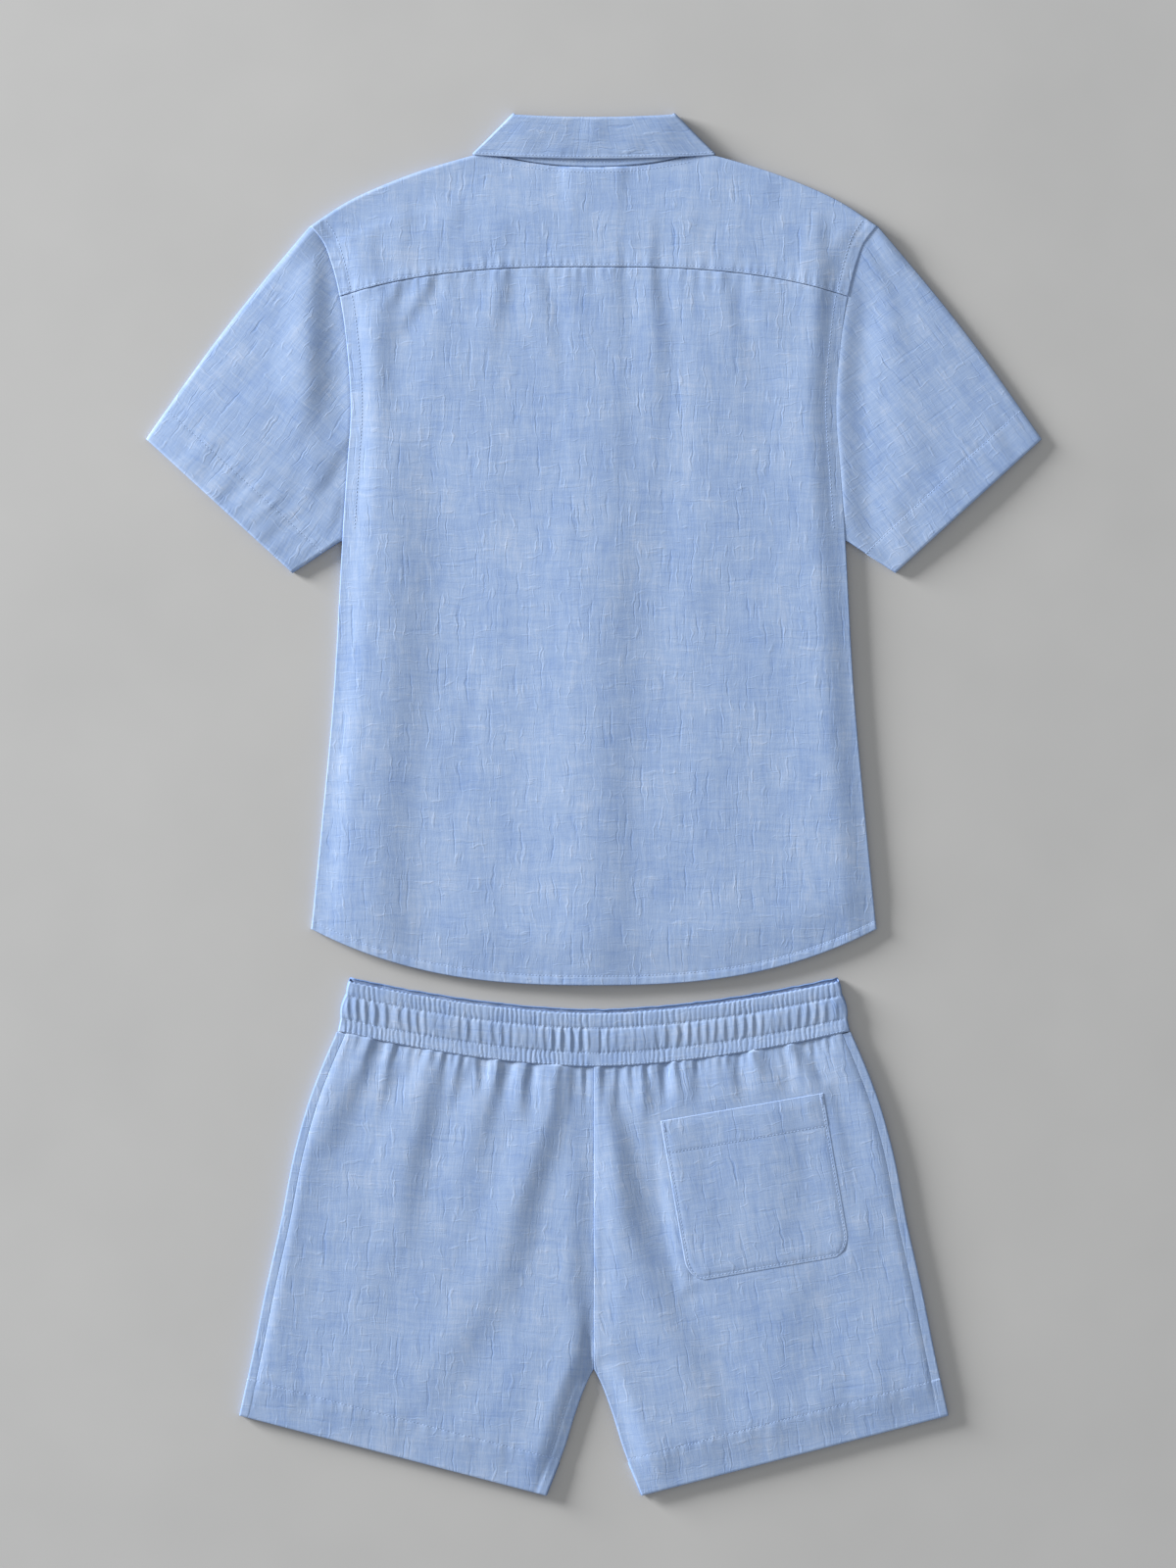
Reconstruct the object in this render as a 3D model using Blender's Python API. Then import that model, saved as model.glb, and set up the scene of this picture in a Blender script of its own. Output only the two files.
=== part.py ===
"""A short-sleeved shirt and pull-on shorts, laid flat on a surface with their backs up.

The shirt lies above the shorts. X runs to the right of the picture, Y towards the collar and Z up.
Every size below is in millimetres and becomes metres where a mesh is made. The shirt's sizes are
measured from the middle of its neck seam, and the shorts' from the middle of the waistband's top.
"""

import math

import bmesh
import bpy
import numpy as np

MM = 0.001
SHARP_ANGLE = math.radians(50)
CHAMBRAY = (0.323, 0.445, 0.679, 1.0)
BUTTON_WHITE = (0.78, 0.79, 0.80, 1.0)

# Cloth
CLOTH = 1.0  # wall of one layer
HEM_EXTRA = 0.5  # what a turned hem adds to the wall
SEAM = 0.3  # clearance between pieces that are sewn together
CURVE_SEAM = 0.4  # and where the seam curves
LOFT = 3.1  # air between the lower and the upper panels
EDGE_RADIUS = 2.0  # of the cloth's turn at a folded edge, in plan
FADE_IN = 0.12  # share of a fold's length over which it starts
FADE_OUT = 0.6

# Where the two garments lie
SHIRT_Y = 542.9
SHORTS_Y = -177.8

# Shirt, outline of the body
HEM_MID_Y = -697.0
HEM_SIDE_Y = -649.0
HEM_BOW = 2.6
HEM_DEPTH = 7.5
UNDERARM_Y = -318.0
YOKE_MID_Y = -85.0
YOKE_SIDE_Y = -110.0
YOKE_BOW = 2.8
NECK_HALF = 95.0
NECK_RISE = 12.3
FRONT_NECK_DROP = 62.8  # from the neck's side point to its lowest point in front
TIP_X = 241.3  # end of the shoulder
TIP_Y = -49.8
STRIP_DEPTH = 32.0  # how far the yoke runs down in front of the shoulder
SIDE_SEAM = ((HEM_SIDE_Y, 240.9), (-556.0, 231.7), (-456.5, 222.5), (UNDERARM_Y, 214.6))  # y, x
ARMHOLE = (  # y, x
    (UNDERARM_Y, 214.6), (-258.0, 210.4), (-207.0, 207.1), (-157.0, 210.0),
    (YOKE_SIDE_Y, 216.5), (-80.5, 224.0), (-62.4, 231.3), (TIP_Y, TIP_X),
)
SHOULDER = ((NECK_HALF, NECK_RISE), (104.4, 9.8), (169.5, -11.0), (213.8, -31.5), (TIP_X, TIP_Y))  # x, y

# Shirt, rows and columns of the cloth's grids
HEM_LEVELS = (HEM_SIDE_Y, HEM_SIDE_Y + HEM_DEPTH, HEM_SIDE_Y + HEM_DEPTH + 1.5)
BACK_LEVELS = (-605.0, -560.0, -510.0, -460.0, -412.0, -365.0)
FRONT_LEVELS = (-590.0, -520.0, -450.0, -380.0)
ARM_LEVELS = (UNDERARM_Y, -288.0, -258.0, -228.0, -198.0, -168.0, -139.0, YOKE_SIDE_Y)
YOKE_LEVELS = (-95.9, -81.8, -65.8)
BACK_COLUMNS = 41
NECK_COLUMNS = 6
SHOULDER_COLUMNS = (NECK_HALF, 105.0, 119.0, 140.0, 165.0, 190.0, 215.0, TIP_X)
FRONT_COLUMNS = (  # x at the hem, x at the shoulder
    (-17.0, -17.0), (0.0, 0.0), (17.5, 17.5), (27.0, 25.0), (37.0, 34.0), (50.0, 47.0), (84.0, 62.0),
    (120.0, 74.0), (145.0, 82.0), (185.0, 118.0), (215.0, 170.0), (240.9, 223.7),
)
FRONT_BOW = 1.5

# Shirt, how high the back and the yoke lie
SIDE_HEIGHT = 3.2  # at the armhole and the underarm
SIDE_SOFTNESS = 38.0  # distance over which the side rounds off
UNDERARM_SOFTNESS = 60.0
SHOULDER_HEIGHT = 2.4
SHOULDER_SOFTNESS = 30.0
HEM_SOFTNESS = 45.0
HEM_SHARE = 0.45  # of the loft that is left at the hem
YOKE_STEP = 0.4  # the yoke's turned edge lies on the back
YOKE_STEP_DEPTH = 14.0

# Shirt, soft folds of the back, as troughs (below 0) and ridges (above 0)
BACK_FOLDS = (  # x at top, x at bottom, y at top, y at bottom, half width, height
    (-184.0, -164.0, -104.0, -640.0, 18.0, -1.6),
    (-158.0, -150.0, -96.0, -240.0, 9.0, -1.2),
    (-118.0, -120.0, -92.0, -180.0, 8.0, -0.8),
    (-80.0, -84.0, -90.0, -230.0, 9.0, -1.2),
    (-49.0, -54.0, -88.0, -260.0, 11.0, -1.4),
    (-100.0, -112.0, -300.0, -640.0, 24.0, 0.6),
    (-13.0, -16.0, -87.0, -190.0, 8.0, -0.9),
    (25.0, 22.0, -87.0, -170.0, 7.0, -0.7),
    (56.0, 62.0, -88.0, -230.0, 12.0, -1.4),
    (112.0, 108.0, -91.0, -176.0, 10.0, -1.2),
    (104.0, 118.0, -260.0, -640.0, 24.0, -0.7),
    (146.0, 150.0, -94.0, -160.0, 8.0, -0.9),
    (180.0, 196.0, -104.0, -640.0, 16.0, -1.2),
    (200.0, 222.0, -250.0, -640.0, 12.0, 0.5),
)

# Shirt, front opening
PLACKET_HALF = 17.0
PLACKET = 1.2  # wall of the placket
PLACKET_ROWS = (0.0, 0.035, 0.05, 0.07, 0.09, 0.11, 0.2, 0.4, 0.6, 0.8, 1.0)  # shares of its length
BUTTON_RADIUS = 5.5
BUTTON = 1.8
BUTTON_RIM = 1.4
BUTTON_DISH = 0.5
BUTTON_BEVEL = 0.5
FIRST_BUTTON_Y = -35.5  # on the collar stand
SECOND_BUTTON_Y = -100.0
BUTTON_PITCH = 90.0
FRONT_BUTTONS = 6
PLACKET_LIFT = BUTTON + SEAM
LIFT_FROM_HEM = 25.0
LIFT_RAMP = 50.0
UNDER_RAMP = 30.0  # width over which the front beside the placket comes down to the surface
OVER_RAMP = 34.0  # and the front that lies on it

# Shirt, collar
LEAF = 1.4
STAND = 1.2
COLLAR_HEIGHT = 7.4  # all the collar's layers where it lies double
COLLAR_RADIUS = 3.0
STAND_BELOW_ROLL = 3.0
UNDER_LEAF = LEAF + SEAM
OVER_LEAF = LEAF + 0.5
COLLAR_LIFT_REACH = 36.0  # how far beyond the leaf the panels above it are down again
COLLAR_LIFT_RAMP = 24.0
ROLL_CORNER = (68.9, 47.0)
ROLL_MID_Y = 42.8
LEAF_SIDE = (104.4, 12.4)
LEAF_MID_Y = 6.9
ROLL_FRONT = (6.0, -20.5)
LEAF_POINT = (52.0, -80.5)
STAND_SIDE = (NECK_HALF - 1.5, NECK_RISE + 5.2)
STAND_END = (-PLACKET_HALF, -PLACKET_HALF + 6.0)  # x at the neck seam, x at the roll
STAND_END_DROP = 5.0

# Shirt, sleeve
SLEEVE_HEM_OUTER = (381.6, -231.5)
SLEEVE_HEM_INNER = (257.2, -345.4)
SLEEVE_HEM = 31.0
SLEEVE_BULGE = 4.0
SLEEVE_EDGE = 3.4  # height of the folded edges
SLEEVE_MID = 5.2
SLEEVE_SEAM = 0.45
SLEEVE_TUCK = 0.9  # how far it dips below the body's edge
SLEEVE_ROWS = (0.0, 0.07, 0.14, 0.22, 0.35, 0.55, 0.78, 1.0, 1.05, 2.0)  # 0 armhole, 1 hem stitch, 2 hem
SLEEVE_FOLDS_LEFT = (  # x at top, x at bottom, y at top, y at bottom, half width, height
    (236.0, 222.0, -66.0, -262.0, 10.0, -1.4),
    (262.0, 250.0, -90.0, -250.0, 12.0, 0.5),
    (300.0, 292.0, -190.0, -300.0, 9.0, -0.7),
    (322.0, 318.0, -210.0, -290.0, 8.0, -0.6),
)
SLEEVE_FOLDS_RIGHT = (
    (210.0, 228.0, -150.0, -322.0, 9.0, -1.3),
    (229.0, 254.0, -70.0, -236.0, 11.0, 0.6),
    (262.0, 282.0, -120.0, -290.0, 11.0, -0.9),
    (318.0, 324.0, -190.0, -280.0, 9.0, -0.6),
)

# Shorts, outline
BAND_TOP_HALF = 209.2
BAND_BOTTOM_HALF = 218.8
BAND_TOP_RISE = 27.0
BAND_BOTTOM_MID = -45.6
BAND_BOTTOM_SIDE = -15.5
BAND_BOW = 1.7
CROTCH_Y = -303.6
OUTSEAM = (  # y, x
    (-343.0, 302.3), (-298.0, 292.3), (-232.0, 278.9), (-180.0, 267.2), (-113.0, 253.8),
    (-68.0, 240.5), (-40.0, 229.5), (BAND_BOTTOM_SIDE, BAND_BOTTOM_HALF),
)
INSEAM = ((-411.3, 40.7), (-369.6, 24.6), (-339.0, 15.0), (-312.0, 4.5), (CROTCH_Y, SEAM / 2))  # y, x
SIDE_TURN = 7.5  # how far the front wraps onto the back
LEG_ROWS = (  # y at the side, y at the inner edge
    (BAND_BOTTOM_SIDE - SEAM, BAND_BOTTOM_MID - SEAM), (-21.0, -53.0), (-32.0, -66.0), (-50.0, -88.0),
    (-80.0, -122.0), (-118.0, -165.0), (-158.0, -212.0), (-200.0, -258.0), (-243.0, CROTCH_Y),
    (-277.0, -340.0), (-309.5, -378.5), (-311.0, -380.0), (-343.0, -411.3),
)
LEG_HEM_ROWS = 2  # of the rows above
LEG_COLUMNS = 31
FRONT_LEG_COLUMNS = 10
FRONT_LEG_SHARE = 0.9  # of the width that these cover, before the side's turn

# Shorts, how high the back lies, and its folds below the band
CENTRE_HEIGHT = 3.4
CENTRE_SOFTNESS = 30.0
OUTSEAM_HEIGHT = 2.5
OUTSEAM_SOFTNESS = 34.0
LEG_HEM_SOFTNESS = 40.0
INSEAM_RAMP = 14.0
GATHER_DEPTH = 95.0  # how far the front's gathers run down from the band
GATHER_RAMP = 50.0
GATHER_PITCH = 22.6
LEG_FOLDS_LEFT = (  # x at top, x at bottom, y at top, y at bottom, half width, height
    (24.0, 108.0, -46.0, -305.0, 12.0, -2.0),
    (40.0, 50.0, -46.0, -100.0, 6.0, -1.0),
    (58.0, 66.0, -44.0, -96.0, 7.0, -1.3),
    (76.0, 86.0, -42.0, -110.0, 7.0, -1.0),
    (95.0, 104.0, -40.0, -96.0, 8.0, -1.3),
    (111.0, 124.0, -38.0, -120.0, 7.0, -1.0),
    (128.0, 140.0, -35.0, -90.0, 7.0, -1.3),
    (146.0, 160.0, -32.0, -100.0, 7.0, -1.0),
    (166.0, 184.0, -28.0, -110.0, 8.0, -1.3),
    (187.0, 256.0, -28.0, -222.0, 10.0, -1.5),
    (205.0, 232.0, -20.0, -110.0, 8.0, -1.2),
    (150.0, 176.0, -122.0, -330.0, 18.0, -1.2),
)
LEG_FOLDS_RIGHT = (
    (9.0, 93.0, -51.0, -347.0, 11.0, -2.0),
    (34.0, 64.0, -46.0, -180.0, 8.0, -1.4),
    (54.0, 60.0, -44.0, -90.0, 7.0, -1.0),
    (76.0, 82.0, -42.0, -90.0, 7.0, -1.2),
    (105.0, 110.0, -38.0, -86.0, 8.0, -1.2),
    (128.0, 134.0, -36.0, -80.0, 7.0, -1.0),
    (151.0, 158.0, -32.0, -76.0, 8.0, -1.2),
    (180.0, 190.0, -25.0, -72.0, 8.0, -1.3),
    (205.0, 238.0, -20.0, -150.0, 8.0, -1.4),
    (222.0, 262.0, -110.0, -270.0, 9.0, -0.8),
    (150.0, 160.0, -245.0, -390.0, 16.0, -0.9),
    (226.0, 242.0, -260.0, -400.0, 14.0, -0.8),
)

# Shorts, waistband
BAND_WALL = 2.2
BAND_RADIUS = 2.4
BAND_CREST = 1.1  # how far its middle row swells
BAND_HEIGHT = 2 * BAND_WALL + SEAM + 0.9
BAND_PEEP = 3.4  # how far the front of the band shows above its back
BAND_GATHERS = 36  # across the back
BAND_FRONT_COLUMNS = 13
BAND_FLAT_SHARE = 0.03  # the last share of its width, which has no gathers
BAND_SECTION = (  # share down the band, how far the back swells, how deep its gathers are
    (0.0, 0.3, 0.8), (0.13, 0.8, 0.9), (0.27, 0.1, 0.3), (0.5, BAND_CREST, 1.3),
    (0.74, 0.1, 0.3), (0.88, 0.6, 0.9), (1.0, 0.2, 0.6),
)

# Shorts, back pocket
POCKET_CORNER = (56.8, -91.8)
POCKET_WIDTH = 140.6
POCKET_DEPTH = 140.0
POCKET_TILT = math.radians(9.8)
POCKET_ROUND = 20.0
POCKET_TRIM = 0.85
POCKET_HEM = 28.0
POCKET_CLEAR = 0.55
POCKET_CALM = 0.8  # share of the leg's folds that the double cloth smooths away
POCKET_CALM_RAMP = 14.0
POCKET_COLUMNS = 11
POCKET_ROWS = (0.0, 0.1, 0.199, 0.201, 0.31, 0.42, 0.53, 0.64, 0.75, 0.858, 0.93, 0.98, 1.0)  # shares of its depth


def ease(t):
    """0 to 1 with level ends."""
    t = np.clip(t, 0.0, 1.0)
    return t * t * (3.0 - 2.0 * t)


def mix(a, b, t):
    return a + (b - a) * t


def smooth(table, at):
    """Reads a smooth curve through a table's rows of (place, value)."""
    places, values = np.array(sorted(table), float).T
    slopes = np.gradient(values, places)
    at = np.clip(np.asarray(at, float), places[0], places[-1])
    i = np.clip(np.searchsorted(places, at, side="right") - 1, 0, len(places) - 2)
    step = places[i + 1] - places[i]
    t = (at - places[i]) / step
    start = (1 + 2 * t) * (1 - t) ** 2 * values[i] + t * (1 - t) ** 2 * step * slopes[i]
    end = t * t * (3 - 2 * t) * values[i + 1] - t * t * (1 - t) * step * slopes[i + 1]
    return start + end


def folds(table, x, y):
    """Adds up soft troughs and ridges, which fade in at both ends."""
    total = np.zeros(np.broadcast(x, y).shape)
    for x_top, x_bottom, y_top, y_bottom, half, height in table:
        along = np.clip((y_top - y) / (y_top - y_bottom), -1, 2)
        across = ease(1 - np.abs(x - mix(x_top, x_bottom, along)) / half)
        fade = ease((along + FADE_IN) / FADE_IN) * ease((1 + FADE_IN - along) / FADE_OUT)
        total = total + height * across * fade
    return total


def points(x, y, z):
    return np.stack(np.broadcast_arrays(x, y, z), axis=-1).astype(float)


def flipped(grid, side):
    """The grid itself on the +X side, and its mirror image on the other."""
    return grid * (side, 1, 1)


def clear_scene():
    for obj in list(bpy.data.objects):
        bpy.data.objects.remove(obj, do_unlink=True)


def material(name, colour, roughness):
    made = bpy.data.materials.get(name) or bpy.data.materials.new(name)
    made.use_nodes = True
    shader = made.node_tree.nodes["Principled BSDF"]
    shader.inputs["Base Color"].default_value = colour
    shader.inputs["Roughness"].default_value = roughness
    return made


def add_object(name, bm, finish, parent):
    """Turns a closed bmesh into a named object with its faces pointing out."""
    bmesh.ops.delete(bm, geom=[v for v in bm.verts if not v.link_faces], context="VERTS")
    bmesh.ops.recalc_face_normals(bm, faces=bm.faces)
    mesh = bpy.data.meshes.new(name)
    bm.to_mesh(mesh)
    bm.free()
    mesh.shade_smooth()
    mesh.set_sharp_from_angle(angle=SHARP_ANGLE)
    mesh.materials.append(finish)
    obj = bpy.data.objects.new(name, mesh)
    bpy.context.scene.collection.objects.link(obj)
    obj.parent = parent
    return obj


def cloth_wall(name, outer, inner, parent, joined=False, cells=None):
    """One closed piece of cloth between the points of its two faces.

    Both grids are rows x columns x 3. joined closes the last column onto the first, and cells
    says which squares of the grid are cloth."""
    rows, columns = outer.shape[:2]
    spans = columns if joined else columns - 1
    if cells is None:
        cells = np.ones((rows - 1, spans), bool)
    bm = bmesh.new()
    faces = [[[bm.verts.new(point * MM) for point in row] for row in grid] for grid in (outer, inner)]

    def is_cloth(i, j):
        if joined:
            j %= spans
        return 0 <= i < rows - 1 and 0 <= j < spans and cells[i, j]

    for i in range(rows - 1):
        for j in range(spans):
            if not cells[i, j]:
                continue
            k = (j + 1) % columns
            corners = ((i, j), (i, k), (i + 1, k), (i + 1, j))
            bm.faces.new([faces[0][a][b] for a, b in corners])
            bm.faces.new([faces[1][a][b] for a, b in reversed(corners)])
            neighbours = ((i - 1, j), (i, j + 1), (i + 1, j), (i, j - 1))
            for side, neighbour in enumerate(neighbours):
                if is_cloth(*neighbour):
                    continue
                (a, b), (c, d) = corners[side], corners[(side + 1) % 4]
                bm.faces.new([faces[0][c][d], faces[0][a][b], faces[1][a][b], faces[1][c][d]])
    finish = material("chambray", CHAMBRAY, 0.9)
    return add_object(name, bm, finish, parent)


# Shirt, plan


def half_width(y):
    """Half the body's width at a height of its side."""
    return np.where(np.asarray(y) < UNDERARM_Y, smooth(SIDE_SEAM, y), smooth(ARMHOLE, y))


def hem_y(x):
    share = np.clip(np.abs(x) / SIDE_SEAM[0][1], 0, 1)
    return mix(HEM_MID_Y, HEM_SIDE_Y, share**HEM_BOW)


def yoke_seam_y(x):
    share = np.clip(np.abs(x) / smooth(ARMHOLE, YOKE_SIDE_Y), 0, 1)
    return mix(YOKE_MID_Y, YOKE_SIDE_Y, share**YOKE_BOW)


def neck_y(x):
    """The neck seam across the back."""
    return NECK_RISE * (np.abs(x) / NECK_HALF) ** 2


def front_neck_y(x):
    """The neck seam in front is half an ellipse."""
    across = np.clip(np.abs(x) / NECK_HALF, 0, 1)
    return NECK_RISE - FRONT_NECK_DROP * np.sqrt(1 - across**2)


def front_neck_x(y):
    fall = np.clip((NECK_RISE - y) / FRONT_NECK_DROP, 0, 1)
    return NECK_HALF * np.sqrt(1 - fall**2)


# Shirt, heights


def placket_lift(y):
    """The placket lies on its buttons, and comes down to the surface at the hem."""
    return PLACKET_LIFT * ease((y - HEM_MID_Y - LIFT_FROM_HEM) / LIFT_RAMP)


def collar_lift(x, y):
    """The panels rise over the collar's leaf, which lies below them in front."""
    x = np.abs(x)
    beyond = []
    for start, end in ((LEAF_SIDE, LEAF_POINT), (LEAF_POINT, ROLL_FRONT)):
        along = np.subtract(end, start) / np.hypot(*np.subtract(end, start))
        beyond.append((x - start[0]) * -along[1] + (y - start[1]) * along[0])
    return OVER_LEAF * ease((COLLAR_LIFT_REACH - np.maximum(*beyond)) / COLLAR_LIFT_RAMP)


def front_low(x, y, over_placket):
    """Lower face of a front, or of the yoke's strip. over_placket is for the front that lies on the placket."""
    reach = np.abs(x) - PLACKET_HALF - 1.0
    if over_placket:
        ramp = (placket_lift(y) + PLACKET + SEAM) * ease(1 - reach / OVER_RAMP)
    else:
        ramp = placket_lift(y) * ease(1 - reach / UNDER_RAMP)
    return np.maximum(ramp, collar_lift(x, y))


def back_low(x, y):
    """Lower face of the back and of the yoke."""
    across = half_width(y) - np.abs(x)
    at_side = mix(CLOTH + SEAM, SIDE_HEIGHT, ease((y - UNDERARM_Y) / UNDERARM_SOFTNESS))
    low = mix(at_side, CLOTH + SEAM + LOFT, ease(across / SIDE_SOFTNESS))
    to_shoulder = np.interp(np.abs(x), *np.array(SHOULDER).T) - y
    at_shoulder = mix(SHOULDER_HEIGHT, low, ease(to_shoulder / SHOULDER_SOFTNESS + 0.15))
    low = np.where(np.abs(x) > NECK_HALF, at_shoulder, low)
    low = low + folds(BACK_FOLDS, x, y)
    low = mix(HEM_SHARE * low, low, ease((y - hem_y(x)) / HEM_SOFTNESS))
    return np.maximum(low, front_low(x, y, True) + CLOTH + HEM_EXTRA + SEAM)


# Shirt, pieces


def shirt_back(parent):
    levels = np.array(HEM_LEVELS + BACK_LEVELS + ARM_LEVELS)
    share = (levels - HEM_SIDE_Y) / (YOKE_SIDE_Y - HEM_SIDE_Y)
    u = np.linspace(-1, 1, BACK_COLUMNS)[None, :]
    middle = mix(HEM_MID_Y, YOKE_MID_Y, share)[:, None]
    bow = mix(HEM_BOW, YOKE_BOW, share)[:, None]
    x = u * half_width(levels)[:, None]
    y = mix(middle, levels[:, None], np.abs(u) ** bow)
    low = back_low(x, y)
    in_hem = (levels <= HEM_LEVELS[1])[:, None]
    high = low + CLOTH + HEM_EXTRA * in_hem
    return cloth_wall("shirt_back", points(x, y, high), points(x, y, low), parent)


def shirt_yoke(parent):
    """The yoke runs from the back seam over both shoulders, and turns under to a strip in front."""
    across = np.linspace(0, NECK_HALF, NECK_COLUMNS)[:-1]
    half = np.concatenate([across, SHOULDER_COLUMNS])
    x_top = np.concatenate([-half[:0:-1], half])
    u = x_top / TIP_X
    on_shoulder = np.abs(x_top) >= NECK_HALF
    y_top = np.where(on_shoulder, smooth(SHOULDER, np.abs(x_top)), neck_y(x_top))
    seam = yoke_seam_y(u * smooth(ARMHOLE, YOKE_SIDE_Y)) + CURVE_SEAM
    outer, inner = [], []

    end_level = TIP_Y - EDGE_RADIUS
    upper = (YOKE_SIDE_Y, *YOKE_LEVELS, end_level)
    for level in upper:
        share = (level - YOKE_SIDE_Y) / (end_level - YOKE_SIDE_Y)
        x = u * smooth(ARMHOLE, max(level, YOKE_SIDE_Y + SEAM))
        y = mix(seam, y_top - EDGE_RADIUS * on_shoulder, share)
        step = YOKE_STEP * ease(1 - (y - seam) / YOKE_STEP_DEPTH)
        low = back_low(x, y) + step
        outer.append(points(x, y, low + CLOTH))
        inner.append(points(x, y, low))
    top = outer[-1][:, 2]

    share = np.clip((np.abs(x_top) - NECK_HALF) / (TIP_X - NECK_HALF), 0, 1)

    def strip_plan(down):
        """Plan of the strip at a distance below the shoulder's outline."""
        x = mix(front_neck_x(NECK_RISE - down), smooth(ARMHOLE, TIP_Y - down), share)
        return np.sign(x_top) * x, y_top - down

    bottom = front_low(*strip_plan(EDGE_RADIUS), False)
    for angle in np.radians([45.0, 0.0, -45.0, -90.0]):
        for grid, wall in ((outer, 0.0), (inner, CLOTH)):
            x, y = strip_plan(EDGE_RADIUS * (1 - math.cos(angle)) + wall * math.cos(angle))
            tall = (top - bottom) / 2 - wall
            grid.append(points(x, y, (top + bottom) / 2 + tall * math.sin(angle)))
    for down in (0.5 * STRIP_DEPTH, STRIP_DEPTH):
        x, y = strip_plan(down)
        low = front_low(x, y, False)
        outer.append(points(x, y, low))
        inner.append(points(x, y, low + CLOTH))
    cells = np.ones((len(outer) - 1, len(x_top) - 1), bool)
    cells[len(upper) - 1:, ~(on_shoulder[1:] & on_shoulder[:-1])] = False
    return cloth_wall("shirt_yoke", np.array(outer), np.array(inner), parent, cells=cells)


def shirt_front(name, side, over_placket, parent):
    """A front, on the +X side where side is 1. The one over the placket reaches past the opening's middle."""
    columns = np.array(FRONT_COLUMNS)
    if not over_placket:
        columns = columns[2:]
        columns[0] = PLACKET_HALF + SEAM
    seam_level = TIP_Y - STRIP_DEPTH - CURVE_SEAM
    levels = np.array([*HEM_LEVELS, *FRONT_LEVELS, *ARM_LEVELS, YOKE_LEVELS[0], seam_level])
    share = ((levels - HEM_SIDE_Y) / (seam_level - HEM_SIDE_Y))[:, None]
    at_hem, at_top = columns.T
    start = at_hem[0]
    to_hem = (at_hem - start) / (at_hem[-1] - start)
    to_top = (at_top - start) / (at_top[-1] - start)
    across = mix(to_hem, to_top, share**FRONT_BOW)
    x = start + across * (half_width(levels)[:, None] - start)
    neck_end = at_top[8 if over_placket else 6]
    tips = mix(NECK_HALF, TIP_X, np.clip((at_top - neck_end) / (at_top[-1] - neck_end), 0, 1))
    under_strip = smooth(SHOULDER, tips) - STRIP_DEPTH
    top = np.where(at_top >= neck_end, under_strip, front_neck_y(at_top)) - CURVE_SEAM
    y = mix(hem_y(x[0]), top, share)
    low = front_low(x, y, over_placket)
    in_hem = (levels <= HEM_LEVELS[1])[:, None]
    high = low + CLOTH + HEM_EXTRA * in_hem
    outer, inner = flipped(points(x, y, high), side), flipped(points(x, y, low), side)
    return cloth_wall(name, outer, inner, parent)


def shirt_placket(parent):
    x = np.array([-PLACKET_HALF, 0.0, PLACKET_HALF])
    y = mix(hem_y(x), front_neck_y(x) - SEAM, np.array(PLACKET_ROWS)[:, None])
    low = placket_lift(y)
    return cloth_wall("shirt_placket", points(x, y, low + PLACKET), points(x, y, low), parent)


def shirt_button(number, y, parent):
    """A round button whose dished side, the one that shows when it is worn, faces down."""
    profile = (  # radius, height
        (0.0, BUTTON), (BUTTON_RADIUS - BUTTON_BEVEL, BUTTON), (BUTTON_RADIUS, BUTTON - BUTTON_BEVEL),
        (BUTTON_RADIUS, 0.0), (BUTTON_RADIUS - BUTTON_RIM, 0.0),
        (BUTTON_RADIUS - BUTTON_RIM - BUTTON_DISH, BUTTON_DISH), (0.0, BUTTON_DISH),
    )
    bm = bmesh.new()
    edge = [bm.verts.new((radius * MM, 0.0, height * MM)) for radius, height in profile]
    for a, b in zip(edge, edge[1:]):
        bm.edges.new((a, b))
    bmesh.ops.spin(
        bm, geom=bm.verts[:] + bm.edges[:], cent=(0, 0, 0), axis=(0, 0, 1),
        angle=2 * math.pi, steps=12, use_duplicate=False,
    )
    bmesh.ops.remove_doubles(bm, verts=bm.verts[:], dist=1e-6)
    button = add_object(f"shirt_button_{number}", bm, material("button", BUTTON_WHITE, 0.35), parent)
    button.location = (0.0, y * MM, 0.0)
    return button


def unit(vector):
    return np.array(vector) / np.hypot(*vector)


COLLAR_DOWN = unit(np.subtract(LEAF_SIDE, ROLL_CORNER))  # along the side fold, from the roll to the leaf's edge
COLLAR_IN = np.array([COLLAR_DOWN[1], -COLLAR_DOWN[0]])  # square to it, towards the collar's middle


def collar_point(plan, angle, depth):
    """A point of the collar at a depth below its outer face. The angle is 90 degrees on the back's side of the
    collar, -90 in front, and between them the cloth turns round the side fold."""
    turned = math.cos(angle)
    plan = np.array(plan) + COLLAR_IN * (COLLAR_RADIUS * (1 - turned) + depth * turned) * (turned > 0.01)
    tall = COLLAR_HEIGHT / 2 - depth
    return np.array([*plan, COLLAR_HEIGHT / 2 + tall * math.sin(angle)])


def collar_stations(back, side, front):
    """One edge of the collar's right half as (plan point, angle), from the middle of the back to the front."""
    upper = [(point, math.pi / 2) for point in back]
    fold = [(side, math.radians(angle)) for angle in (60.0, 20.0, -20.0, -60.0)]
    lower = [(point, -math.pi / 2) for point in front]
    return upper + fold + lower


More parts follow.
